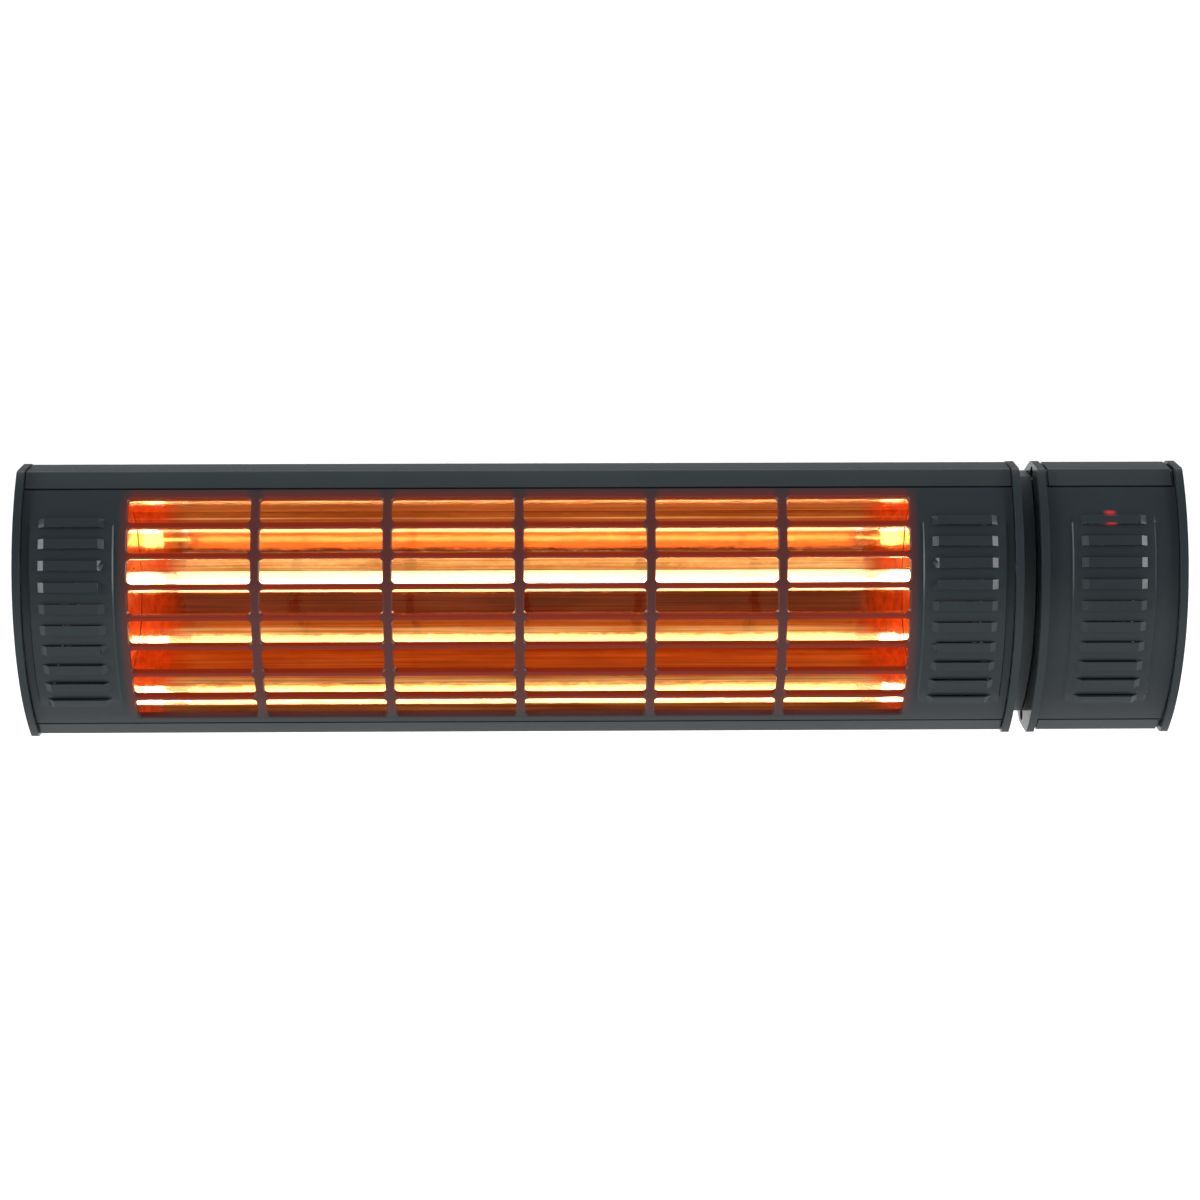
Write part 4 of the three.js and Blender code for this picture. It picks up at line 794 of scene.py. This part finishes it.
def press_panel(bm, centre, sizes):
    """Lances the louvres out of a vent panel, then raises the panel itself."""
    half_x, half_s, foot, top, half = panel_lines(sizes)
    folds = []
    for row in louvre_rows(sizes):
        strap = [f for f in bm.faces if abs(f.calc_center_median().x - centre) < foot
                 and abs(f.calc_center_median().y - row) < half]
        lances = {e for f in strap for e in f.edges
                  if all(abs(abs(v.co.y - row) - half) < NEAR for v in e.verts)}
        bmesh.ops.split_edges(bm, edges=list(lances))
        raised = {v for f in strap for v in f.verts if abs(v.co.x - centre) < top + NEAR}
        bmesh.ops.translate(bm, vec=(0, 0, sizes.louvre_rise), verts=list(raised))
        folds += {e for f in strap for e in f.edges
                  if all(abs(abs(v.co.x - centre) - top) < NEAR for v in e.verts)}
    for vert in bm.verts:
        beside = half_x - abs(vert.co.x - centre)
        above = half_s - abs(vert.co.y)
        if min(beside, above) > 0 and vert.co.z > -NEAR:
            share = share_at(SIDE_STEPS, beside) * share_at(end_steps(sizes), above)
            vert.co.z += sizes.vent_raise * share
    round_edges(bm, list(set(folds)), FOLD_ROUNDING)


def roll_up(bm, sizes):
    """Rolls the flat sheet round the axis of the front."""
    for vert in bm.verts:
        turn = vert.co.y / sizes.front_radius
        radius = sizes.front_radius + vert.co.z
        vert.co = Vector((
            vert.co.x, sizes.axis_y - radius * math.cos(turn), radius * math.sin(turn)))


# ---------- end plates and their screws ----------


# the upper end screws, as (y from the front's axis, z) in millimetres; the lower ones mirror them
BOSSES = [(-50, 58.4), (3, 33.6)]
HOLE_RADIUS = 3.45 * MM
CLEAR_OF_HOLE = 4 * MM  # edges nearer to a screw's middle than this belong to its hole
HOLE_NARROWING = 0.55  # share of the countersink's radius that is left at the plate's back
FRONT_CORNER_SHARE = 0.4  # of a plate's corner radius, at the ends of its curved front
REAR_CORNER = 2.4 * MM
STEEP = 1.3  # radians between faces that meet at a plate's rim


def boss_places():
    """Where the end screws go, as (y from the front's axis, z)."""
    return [(y * MM, side * z * MM) for y, z in BOSSES for side in (1, -1)]


def plate_outline(bm, sizes):
    """The D-shaped section of an end plate as one face at x = 0."""
    radius = sizes.front_radius + sizes.plate_proud
    height = sizes.half_height + sizes.plate_wall_step
    turn = math.asin(height / radius)
    foot = bm.verts.new((0, -radius * math.cos(turn), -radius * math.sin(turn)))
    bmesh.ops.spin(
        bm, geom=[foot], cent=(0, 0, 0), axis=(-1, 0, 0), angle=2 * turn, steps=40)
    arc = sorted(bm.verts, key=lambda v: math.atan2(v.co.z, -v.co.y))
    front_y = -math.sqrt(sizes.front_radius ** 2 - sizes.half_height ** 2)
    start = Vector((front_y + sizes.wall_depth, sizes.half_height))
    end = Vector((sizes.rear, sizes.rear_half))
    slope = (end - start).normalized()
    out = Vector((-slope.y, slope.x)) * sizes.plate_wall_step
    if out.y < 0:
        out = -out
    back = sizes.rear + sizes.plate_wall_step
    shoulder = intersect_line_line_2d(
        start + out - slope, end + out + slope, Vector((-1, height)), Vector((1, height)))
    heel = intersect_line_line_2d(
        start + out - slope, end + out + slope, Vector((back, -1)), Vector((back, 1)))
    if shoulder is None or heel is None:
        raise ValueError("the end plate's walls don't meet")
    wall = [bm.verts.new((0, p[0], p[1])) for p in (shoulder, heel)]
    wall += [bm.verts.new((0, p[0], -p[1])) for p in (heel, shoulder)]
    bm.faces.new([*arc, *wall])
    bmesh.ops.bevel(
        bm, geom=[arc[0], arc[-1]], offset=sizes.plate_corner * FRONT_CORNER_SHARE,
        offset_type="OFFSET", segments=4, profile=0.5, affect="VERTICES", material=-1)
    bmesh.ops.bevel(
        bm, geom=[v for v in wall if v.is_valid], offset=REAR_CORNER, offset_type="OFFSET",
        segments=4, profile=0.5, affect="VERTICES", material=-1)


def end_plate(sizes, node, outer_x, side):
    """Pressed end plate with a rounded rim and countersunk screw holes."""
    bm = bmesh.new()
    plate_outline(bm, sizes)
    border = list(bm.edges)
    bmesh.ops.delete(bm, geom=bm.faces[:], context="FACES_ONLY")
    holes = []
    for y, z in boss_places():
        ring = bmesh.ops.create_circle(
            bm, cap_ends=False, segments=24, radius=HOLE_RADIUS,
            matrix=Matrix.Translation((0, y, z)) @ Matrix.Rotation(math.pi / 2, 4, "Y"))["verts"]
        holes += {e for v in ring for e in v.link_edges}
    bmesh.ops.triangle_fill(bm, use_beauty=True, edges=border + holes, normal=(1, 0, 0))
    made = bmesh.ops.extrude_face_region(bm, geom=bm.faces[:])["geom"]
    back = only(bmesh.types.BMVert, made)
    bmesh.ops.translate(bm, vec=(-side * sizes.plate, 0, 0), verts=back)
    for y, z in boss_places():
        ring = [v for v in back if abs((v.co.yz - Vector((y, z))).length - HOLE_RADIUS) < NEAR]
        bmesh.ops.scale(
            bm, vec=(1, HOLE_NARROWING, HOLE_NARROWING), verts=ring,
            space=Matrix.Translation((0, -y, -z)))
    clean(bm)
    rim = [e for e in bm.edges if len(e.link_faces) == 2 and e.calc_face_angle(0) > STEEP
           and abs(e.verts[0].co.x - e.verts[1].co.x) < NEAR
           and not any((v.co.yz - Vector(b)).length < CLEAR_OF_HOLE
                       for v in e.verts for b in boss_places())]
    round_edges(bm, rim, sizes.plate_edge, 3)
    bmesh.ops.translate(bm, vec=(outer_x, sizes.axis_y, 0), verts=bm.verts)
    dress(node, bm, "enamel")


HEAD_RADIUS = 3.15 * MM
THREAD_RADIUS = 1.5 * MM
SOCKET_RADIUS, SOCKET_DEPTH = 1.45 * MM, 1.3 * MM
HEAD_SUNK = 0.1 * MM
SHANK, LONG_SHANK = 12 * MM, 64.9 * MM


def socket_screw(node, outer_x, side, shank):
    """Countersunk screw with a hexagon socket."""
    low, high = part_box(node)
    centre = Vector((0, (low.y + high.y) / 2, (low.z + high.z) / 2))
    bm = bmesh.new()
    head, thread = HEAD_RADIUS, THREAD_RADIUS
    profile = [
        (0, -shank), (thread * 0.7, -shank), (thread, -shank + 0.6 * MM),
        (thread, thread - head), (head, -0.25 * MM), (head - 0.15 * MM, 0)]
    turned(bm, profile, Vector(), (1, 0, 0), 24)
    clean(bm)
    rim = [e for e in bm.edges if e.is_boundary and all(v.co.x > -NEAR for v in e.verts)]
    ring = bmesh.ops.create_circle(
        bm, cap_ends=True, segments=6, radius=SOCKET_RADIUS,
        matrix=Matrix.Rotation(math.pi / 2, 4, "Y"))["verts"]
    socket = list({f for v in ring for f in v.link_faces})
    hexagon = list({e for v in ring for e in v.link_edges})
    made = bmesh.ops.extrude_face_region(bm, geom=socket)["geom"]
    bmesh.ops.translate(bm, vec=(-SOCKET_DEPTH, 0, 0), verts=only(bmesh.types.BMVert, made))
    bmesh.ops.delete(bm, geom=[f for f in socket if f.is_valid], context="FACES_ONLY")
    bmesh.ops.triangle_fill(bm, use_beauty=True, edges=rim + hexagon, normal=(1, 0, 0))
    clean(bm)
    if side < 0:
        bmesh.ops.rotate(
            bm, verts=bm.verts, cent=(0, 0, 0), matrix=Matrix.Rotation(math.pi, 3, "Z"))
    bmesh.ops.translate(
        bm, vec=centre + Vector((outer_x - side * HEAD_SUNK, 0, 0)), verts=bm.verts)
    dress(node, bm, "black_steel")


# ---------- lamp ----------


def along_lamp(sizes, x):
    """A place on the lamp's axis."""
    return Vector((x, sizes.axis_y + sizes.lamp_y, 0))


def lamp_tube(sizes):
    """Quartz tube with fire-polished ends."""
    bm = bmesh.new()
    outer, inner = sizes.tube_radius, sizes.tube_radius - sizes.tube_wall
    half = sizes.tube_half
    drawn_in, polished = 0.3 * MM, 0.4 * MM
    profile = [
        (inner, -half), (outer - drawn_in, -half), (outer, polished - half), (outer, 0),
        (outer, half - polished), (outer - drawn_in, half), (inner, half), (inner, 0)]
    turned(bm, profile, along_lamp(sizes, 0), (1, 0, 0), 40)
    clean(bm)
    dress("lamp_tube", bm, "quartz")


def coil(bm, centre, radius, wire, low, high, doublings, sides=5, per_turn=12):
    """A helix of wire about the lamp's axis: one turn, copied end to end and joined."""
    pitch = (high - low) / 2 ** doublings
    start = centre + Vector((low, 0, radius))
    before = set(bm.verts)
    ring = bmesh.ops.create_circle(
        bm, cap_ends=False, segments=sides, radius=wire,
        matrix=Matrix.Translation(start) @ Matrix.Rotation(math.pi / 2, 4, "X"))["verts"]
    bmesh.ops.spin(
        bm, geom=[*ring, *{e for v in ring for e in v.link_edges}], cent=centre,
        axis=(1, 0, 0), dvec=(pitch / per_turn, 0, 0), angle=2 * math.pi, steps=per_turn,
        use_merge=False)
    for i in range(doublings):
        verts = [v for v in bm.verts if v not in before]
        faces = list({f for v in verts for f in v.link_faces})
        edges = list({e for v in verts for e in v.link_edges})
        made = bmesh.ops.duplicate(bm, geom=[*verts, *edges, *faces])["geom"]
        bmesh.ops.translate(
            bm, vec=(pitch * 2 ** i, 0, 0), verts=only(bmesh.types.BMVert, made))
    verts = [v for v in bm.verts if v not in before]
    bmesh.ops.remove_doubles(bm, verts=verts, dist=0.005 * MM)
    ends = [e for e in bm.edges if e.is_boundary]
    bmesh.ops.holes_fill(bm, edges=ends, sides=sides)


FILAMENT_WIRE = 0.25 * MM  # radius, as for the wires below
TAIL_WIRE, TAIL_LENGTH, TAIL_OVERLAP = 0.45 * MM, 27.5 * MM, 0.5 * MM
SPIRAL_WIRE, SPIRAL_RADIUS = 0.55 * MM, 3.2 * MM
SPIRAL_FROM, SPIRAL_TO = 178 * MM, 188.5 * MM


def rod(bm, radius, reach, start, side):
    """A straight round wire from a place on the lamp's line towards its end."""
    turned(bm, [(0, 0), (radius, 0), (radius, reach), (0, reach)], start, (side, 0, 0), 10)


def lamp_filament(sizes):
    """Coiled tungsten filament with its straight tails and the bright spiral at each end."""
    bm = bmesh.new()
    centre = along_lamp(sizes, 0)
    coil(
        bm, centre, sizes.coil_radius - FILAMENT_WIRE, FILAMENT_WIRE, -sizes.coil_half,
        sizes.coil_half, sizes.coil_doublings)
    for side in (-1, 1):
        start = along_lamp(sizes, side * (sizes.coil_half - TAIL_OVERLAP))
        rod(bm, TAIL_WIRE, TAIL_LENGTH, start, side)
        low, high = sorted((side * SPIRAL_FROM, side * SPIRAL_TO))
        coil(bm, centre, SPIRAL_RADIUS, SPIRAL_WIRE, low, high, 3, 6, 16)
    clean(bm, TOUCHING)
    dress("lamp_filament", bm, "filament")


SUPPORTS = 7
SUPPORT_RADIUS, SUPPORT_WIRE, SUPPORT_HALF = 3.3 * MM, 0.3 * MM, 1.6 * MM
LEAD_WIRE, LEAD_LENGTH, LEAD_FROM, LEAD_APART = 0.5 * MM, 14 * MM, 176 * MM, 2.2 * MM


def filament_supports(sizes):
    """Small spirals that hold the filament in the middle of the tube, and its end leads."""
    bm = bmesh.new()
    for i in range(SUPPORTS):
        x = (i - SUPPORTS // 2) * sizes.support_pitch
        coil(
            bm, along_lamp(sizes, 0), SUPPORT_RADIUS, SUPPORT_WIRE, x - SUPPORT_HALF,
            x + SUPPORT_HALF, 1, 5, 16)
    for side in (-1, 1):
        for up in (-1, 1):
            start = along_lamp(sizes, side * LEAD_FROM) + Vector((0, 0, up * LEAD_APART / 2))
            rod(bm, LEAD_WIRE, LEAD_LENGTH, start, side)
    clean(bm, TOUCHING)
    finish_piece("filament_supports", bm, "zinc", HEATER)


# the ceramic cap's outline, as (radius, distance from the lamp's middle) in millimetres
CAP_OUTLINE = [
    (6, 189), (6.5, 189.5), (6.5, 193), (5.8, 193.4), (5.8, 194.6), (6.5, 195), (6.5, 202.8),
    (5.5, 204), (0, 204)]
CAP_FRONT, CAP_SEAT = 189, 194.4  # the bore reaches from the front to the tube's seat
CAP_GAP = 0.3  # between the tube and the bore


def lamp_cap(sizes, label, side):
    """Ceramic cap with a rounded shoulder and a groove."""
    bm = bmesh.new()
    bore = sizes.tube_radius / MM + CAP_GAP
    outer = [(bore, CAP_FRONT), *CAP_OUTLINE]
    inner = [(0, CAP_SEAT), (bore, CAP_SEAT), (bore, CAP_FRONT)]
    for outline in (outer, inner):
        profile = [(r * MM, a * MM) for r, a in outline]
        turned(bm, profile, along_lamp(sizes, 0), (side, 0, 0), 32)
    clean(bm)
    dress(f"lamp_cap_{label}", bm, "ceramic")


SLEEVE_RADIUS = 1.5 * MM
SLEEVE_BEND = 5 * MM


def sleeved_wire(label, points):
    """A lamp wire in its braided sleeve, bent round its route."""
    curve = bpy.data.curves.new("wire", "CURVE")
    curve.dimensions = "3D"
    spline = curve.splines.new("BEZIER")
    spline.bezier_points.add(2 * (len(points) - 2) + 1)
    places = [points[0]]
    for before, corner, after in zip(points, points[1:], points[2:]):
        places.append(corner + (before - corner).normalized() * SLEEVE_BEND)
        places.append(corner + (after - corner).normalized() * SLEEVE_BEND)
    places.append(points[-1])
    for i, (knot, place) in enumerate(zip(spline.bezier_points, places)):
        knot.co = place
        before = places[max(0, i - 1)]
        after = places[min(len(places) - 1, i + 1)]
        knot.handle_left_type = knot.handle_right_type = "FREE"
        if 0 < i < len(places) - 1:
            straight = (place - before) if i % 2 else (after - place)
        else:
            straight = after - before
        reach = straight.normalized() * SLEEVE_BEND / 2
        knot.handle_left = place - reach
        knot.handle_right = place + reach
    curve.bevel_depth = SLEEVE_RADIUS
    curve.bevel_resolution = 4
    curve.resolution_u = 6
    curve.use_fill_caps = True
    swept = bpy.data.objects.new("wire", curve)
    bpy.context.scene.collection.objects.link(swept)
    bpy.context.view_layer.update()
    graph = bpy.context.evaluated_depsgraph_get()
    mesh = bpy.data.meshes.new_from_object(swept.evaluated_get(graph))
    bpy.data.objects.remove(swept)
    bm = bmesh.new()
    bm.from_mesh(mesh)
    bpy.data.meshes.remove(mesh)
    clean(bm)
    dress(f"lamp_wire_{label}", bm, "braid", sharp=60)


HOLDER_X, OUTSIDE_X = 213.3, 220  # where a wire leaves its holder, and where it turns down
HOLDER_Y, HOLDER_Z = -20, -6
TERMINAL_Z = -30.3
# by the lamp's end: its side, the lane that the wire runs in (y and z), and its terminal's x
WIRE_LANES = {"left": (-1, -14, -39.5, 256), "right": (1, -18.6, -40.6, 264)}


def wire_route(sizes, side, lane_y, lane_z, terminal_x):
    """The route that the wire's solid takes, from places in millimetres off the front's axis."""
    corners = [
        (side * HOLDER_X, HOLDER_Y, HOLDER_Z), (side * OUTSIDE_X, HOLDER_Y, HOLDER_Z),
        (side * OUTSIDE_X, lane_y, lane_z), (terminal_x, lane_y, lane_z),
        (terminal_x, lane_y, TERMINAL_Z)]
    return [Vector((x * MM, sizes.axis_y + y * MM, z * MM)) for x, y, z in corners]


# ---------- operators ----------


FLOOR_HALF = 80  # far enough for its edge to lie behind the horizon in every view
FLOOR_Z = -0.6
HORIZON_LOW, HORIZON_HIGH = 0.08, 0.16  # heights between which the studio turns dim
SUN_POWER, SUN_ANGLE, SUN_TURN = 3.1, 75, -20  # the angles are in degrees
SOFTBOX_SIZE = (1.6, 1.7)
SOFTBOX_POWER = 170
CAMERA_PLACE = (0.0205, -1.3141, 0.3067)
CAMERA_DOWN, CAMERA_TURN = 14.58, -0.81  # degrees below level, and about the upright axis
CAMERA_LENS = 78.12  # millimetres, on a film 36 wide


class HEATER_OT_stage(bpy.types.Operator):
    """Makes the pale floor, the soft studio light and the camera"""

    bl_idname = "heater.stage"
    bl_label = "Stage"

    def execute(self, context):
        scene = context.scene
        bm = bmesh.new()
        bmesh.ops.create_grid(bm, x_segments=8, y_segments=8, size=FLOOR_HALF)
        bmesh.ops.translate(bm, vec=(0, 0, FLOOR_Z), verts=bm.verts)
        mesh = bpy.data.meshes.new("floor")
        bm.to_mesh(mesh)
        bm.free()
        floor = bpy.data.objects.new("floor", mesh)
        scene.collection.objects.link(floor)
        mesh.materials.append(start_finish(
            "pale_matt_floor", scene.heater_finishes.floor, 0.9, Specular_IOR_Level=0.1)[0])
        self.studio(scene)
        self.sun(scene)
        self.softbox(scene, "left_light", (-2.6, -1.1, 0.65), (1, 0, 0))
        self.softbox(scene, "right_light", (2.7, -1.1, 0.65), (-1, 0, 0))
        self.camera(scene)
        scene.view_settings.view_transform = "Standard"
        return {"FINISHED"}

    def studio(self, scene):
        """A studio that is pale near the floor and dim above."""
        world = bpy.data.worlds.new("studio")
        world.use_nodes = True
        tree = world.node_tree
        place = add_node(tree, "ShaderNodeTexCoord").outputs["Generated"]
        parts = add_node(tree, "ShaderNodeSeparateXYZ", links={"Vector": place})
        background = tree.nodes["Background"]
        tree.links.new(
            shade_between(
                tree, parts.outputs["Z"], linear("ffffff"), linear("7f8286"), HORIZON_LOW,
                HORIZON_HIGH),
            background.inputs["Color"])
        background.inputs["Strength"].default_value = 1.0
        scene.world = world

    def sun(self, scene):
        """Even light on the whole floor."""
        light = bpy.data.lights.new("overhead_light", "SUN")
        light.angle = math.radians(SUN_ANGLE)
        light.energy = SUN_POWER
        lamp = bpy.data.objects.new("overhead_light", light)
        lamp.rotation_euler = (math.radians(SUN_TURN), 0, 0)
        scene.collection.objects.link(lamp)

    def softbox(self, scene, name, place, aim):
        """A broad soft light beside the heater."""
        light = bpy.data.lights.new(name, "AREA")
        light.shape = "RECTANGLE"
        light.size, light.size_y = SOFTBOX_SIZE
        light.energy = SOFTBOX_POWER
        lamp = bpy.data.objects.new(name, light)
        lamp.location = place
        lamp.rotation_euler = Vector(aim).to_track_quat("-Z", "Y").to_euler()
        scene.collection.objects.link(lamp)

    def camera(self, scene):
        """Stands a little above the heater, as in the photograph."""
        lens = bpy.data.cameras.new("camera")
        lens.lens, lens.sensor_width = CAMERA_LENS, 36
        lens.clip_start, lens.clip_end = 0.05, 100
        camera = bpy.data.objects.new("camera", lens)
        camera.location = CAMERA_PLACE
        camera.rotation_euler = (
            math.radians(90 - CAMERA_DOWN), 0, math.radians(CAMERA_TURN))
        scene.collection.objects.link(camera)
        scene.camera = camera


class HEATER_OT_finishes(bpy.types.Operator):
    """Makes the finishes and gives the reflector's finish to the reflector solids, which stay in
    view
    """

    bl_idname = "heater.finishes"
    bl_label = "Finishes"

    def execute(self, context):
        scene = context.scene
        make_finishes(scene.heater_sizes, scene.heater_finishes)
        for node in ("reflector", "reflector_end_left", "reflector_end_right"):
            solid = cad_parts[node]
            solid.data.materials.clear()
            solid.data.materials.append(FINISHES["reflector"])
        return {"FINISHED"}


SHEET_GAP = 0.3 * MM  # between a front sheet's end and its end plate
SHEET_SHARP = 22  # degrees past which a sheet's fold is drawn sharp


class HEATER_OT_front_grille(bpy.types.Operator):
    """Makes the slotted front sheet with its two louvred vent panels"""

    bl_idname = "heater.front_grille"
    bl_label = "Front grille"

    def execute(self, context):
        sizes = context.scene.heater_sizes
        edge = sizes.body_half - sizes.plate - SHEET_GAP
        bm = front_sheet(sizes, -edge, edge, (-sizes.vent_place, sizes.vent_place), True)
        dress("front_grille", bm, "guard", sharp=SHEET_SHARP)
        return {"FINISHED"}


class HEATER_OT_control_cover(bpy.types.Operator):
    """Makes the louvred cover of the control box"""

    bl_idname = "heater.control_cover"
    bl_label = "Control cover"

    def execute(self, context):
        sizes = context.scene.heater_sizes
        inset = sizes.plate + SHEET_GAP
        low, high = sizes.control_left + inset, sizes.control_right - inset
        bm = front_sheet(sizes, low, high, ((low + high) / 2,), False)
        dress("control_cover", bm, "cover", sharp=SHEET_SHARP)
        return {"FINISHED"}


class HEATER_OT_end_plates(bpy.types.Operator):
    """Makes the four end plates"""

    bl_idname = "heater.end_plates"
    bl_label = "End plates"

    def execute(self, context):
        sizes = context.scene.heater_sizes
        end_plate(sizes, "end_plate_left", -sizes.body_half, -1)
        end_plate(sizes, "end_plate_right", sizes.body_half, 1)
        end_plate(sizes, "control_plate_left", sizes.control_left, -1)
        end_plate(sizes, "control_plate_right", sizes.control_right, 1)
        return {"FINISHED"}


class HEATER_OT_housings(bpy.types.Operator):
    """Rounds the folds of the housings and the neck"""

    bl_idname = "heater.housings"
    bl_label = "Housings"

    def execute(self, context):
        softened("housing_shell", 0.35, "enamel", HEATER)
        softened("control_housing", 0.3, "enamel", HEATER)
        softened("neck_spacer", 0.4, "neck", HEATER)
        return {"FINISHED"}


class HEATER_OT_screws(bpy.types.Operator):
    """Makes the countersunk screws of the end plates and rounds the hexagon heads"""

    bl_idname = "heater.screws"
    bl_label = "Screws"

    def execute(self, context):
        sizes = context.scene.heater_sizes
        for i in range(1, 5):
            socket_screw(f"end_screw_left_{i}", -sizes.body_half, -1, SHANK)
            socket_screw(f"end_screw_right_{i}", sizes.body_half, 1, SHANK)
            socket_screw(f"control_screw_{i}", sizes.control_right, 1, LONG_SHANK)
            softened(f"ear_screw_{i}", 0.4, "zinc", HEATER)
        for node in ("neck_screw_upper", "neck_screw_lower", "board_screw_1", "board_screw_2"):
            softened(node, 0.2, "zinc", HEATER)
        return {"FINISHED"}


class HEATER_OT_lamp(bpy.types.Operator):
    """Makes the quartz lamp, its caps, holders, clips and wires"""

    bl_idname = "heater.lamp"
    bl_label = "Lamp"

    def execute(self, context):
        sizes = context.scene.heater_sizes
        lamp_tube(sizes)
        lamp_filament(sizes)
        filament_supports(sizes)
        for label, side in (("left", -1), ("right", 1)):
            lamp_cap(sizes, label, side)
            softened(f"lamp_holder_{label}", 0.6, "ceramic", HEATER)
            softened(f"holder_clip_{label}", 0.2, "zinc", HEATER)
        for label, lane in WIRE_LANES.items():
            sleeved_wire(label, wire_route(sizes, *lane))
        return {"FINISHED"}


class HEATER_OT_controls(bpy.types.Operator):
    """Makes what the control box holds"""

    bl_idname = "heater.controls"
    bl_label = "Controls"

    def execute(self, context):
        softened("circuit_board", 0.15, "board", HEATER)
        softened("relay", 0.8, "black_plastic", HEATER)
        softened("terminal_block", 0.5, "white_plastic", HEATER)
        softened("receiver_module", 0.6, "grey_plastic", HEATER)
        softened("indicator_led", 0.3, "red_lens", HEATER, fold=60)
        return {"FINISHED"}


# the dome nut's outline, as (radius, distance from its foot) in millimetres
NUT_OUTLINE = [
    (6.9, 0), (9.2, 0), (9.5, 0.4), (9.5, 7.6), (9.1, 8.4), (7.4, 12.2), (6.6, 13), (4.5, 13),
    (4.2, 12.7), (4.2, 10), (6.9, 9.4)]
NUT_FACETS = 48
GRIP_RADIUS, GRIP_LOW, GRIP_HIGH = 9.4 * MM, 2 * MM, 7 * MM
GROOVE_EDGE, GROOVE_DEPTH = 0.18 * MM, 0.45 * MM


class HEATER_OT_gland(bpy.types.Operator):
    """Makes the cable gland and its ribbed dome nut"""

    bl_idname = "heater.gland"
    bl_label = "Cable gland"

    def execute(self, context):
        softened("cable_gland", 0.4, "black_plastic", HEATER)
        self.dome_nut()
        return {"FINISHED"}

    def dome_nut(self):
        low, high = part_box("gland_nut")
        centre = Vector(((low.x + high.x) / 2, low.y, (low.z + high.z) / 2))
        bm = bmesh.new()
        profile = [(r * MM, a * MM) for r, a in NUT_OUTLINE]
        turned(bm, profile, centre, (0, 1, 0), NUT_FACETS)
        clean(bm)
        grip = [f for f in bm.faces if GRIP_RADIUS < (f.calc_center_median() - centre).xz.length
                and GRIP_LOW < f.calc_center_median().y - centre.y < GRIP_HIGH]
        facet = 360 / NUT_FACETS
        grooves = [f for f in grip if int(math.degrees(math.atan2(
            *(f.calc_center_median() - centre).xz)) // facet) % 2]
        bmesh.ops.inset_individual(
            bm, faces=grooves, thickness=GROOVE_EDGE, depth=-GROOVE_DEPTH,
            use_even_offset=True)
        dress("gland_nut", bm, "black_plastic")


class HEATER_OT_bracket(bpy.types.Operator):
    """Rounds the tilt bracket and its fastenings"""

    bl_idname = "heater.bracket"
    bl_label = "Tilt bracket"

    def execute(self, context):
        softened("wall_bracket", 0.5, "powder", WALL)
        for label in ("left", "right"):
            softened(f"tilt_ear_{label}", 0.5, "powder", HEATER)
            softened(f"pivot_washer_{label}", 0.2, "fibre", WALL)
            softened(f"pivot_bolt_{label}", 0.5, "zinc", WALL)
            softened(f"pivot_nut_{label}", 0.5, "zinc", WALL)
        return {"FINISHED"}


OPERATORS = [
    HEATER_OT_stage, HEATER_OT_finishes, HEATER_OT_front_grille, HEATER_OT_control_cover,
    HEATER_OT_end_plates, HEATER_OT_housings, HEATER_OT_screws, HEATER_OT_lamp,
    HEATER_OT_controls, HEATER_OT_gland, HEATER_OT_bracket,
]


class HEATER_PT_pieces(bpy.types.Panel):
    """Lists the heater's pieces"""

    bl_label = "Bar heater"
    bl_idname = "HEATER_PT_pieces"
    bl_space_type = "VIEW_3D"
    bl_region_type = "UI"
    bl_category = "Heater"

    def draw(self, context):
        for operator in OPERATORS:
            self.layout.operator(operator.bl_idname)
        for group in (context.scene.heater_sizes, context.scene.heater_finishes):
            for key in group.__annotations__:
                self.layout.prop(group, key)


CLASSES = [HeaterSizes, HeaterFinishes, *OPERATORS, HEATER_PT_pieces]


def register():
    for one in CLASSES:
        bpy.utils.register_class(one)
    bpy.types.Scene.heater_sizes = bpy.props.PointerProperty(type=HeaterSizes)
    bpy.types.Scene.heater_finishes = bpy.props.PointerProperty(type=HeaterFinishes)


def unregister():
    del bpy.types.Scene.heater_finishes
    del bpy.types.Scene.heater_sizes
    for one in reversed(CLASSES):
        bpy.utils.unregister_class(one)


def main():
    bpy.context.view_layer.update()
    register()
    for operator in OPERATORS:
        getattr(bpy.ops.heater, operator.bl_idname.split(".")[1])()


if __name__ == "__main__":
    main()
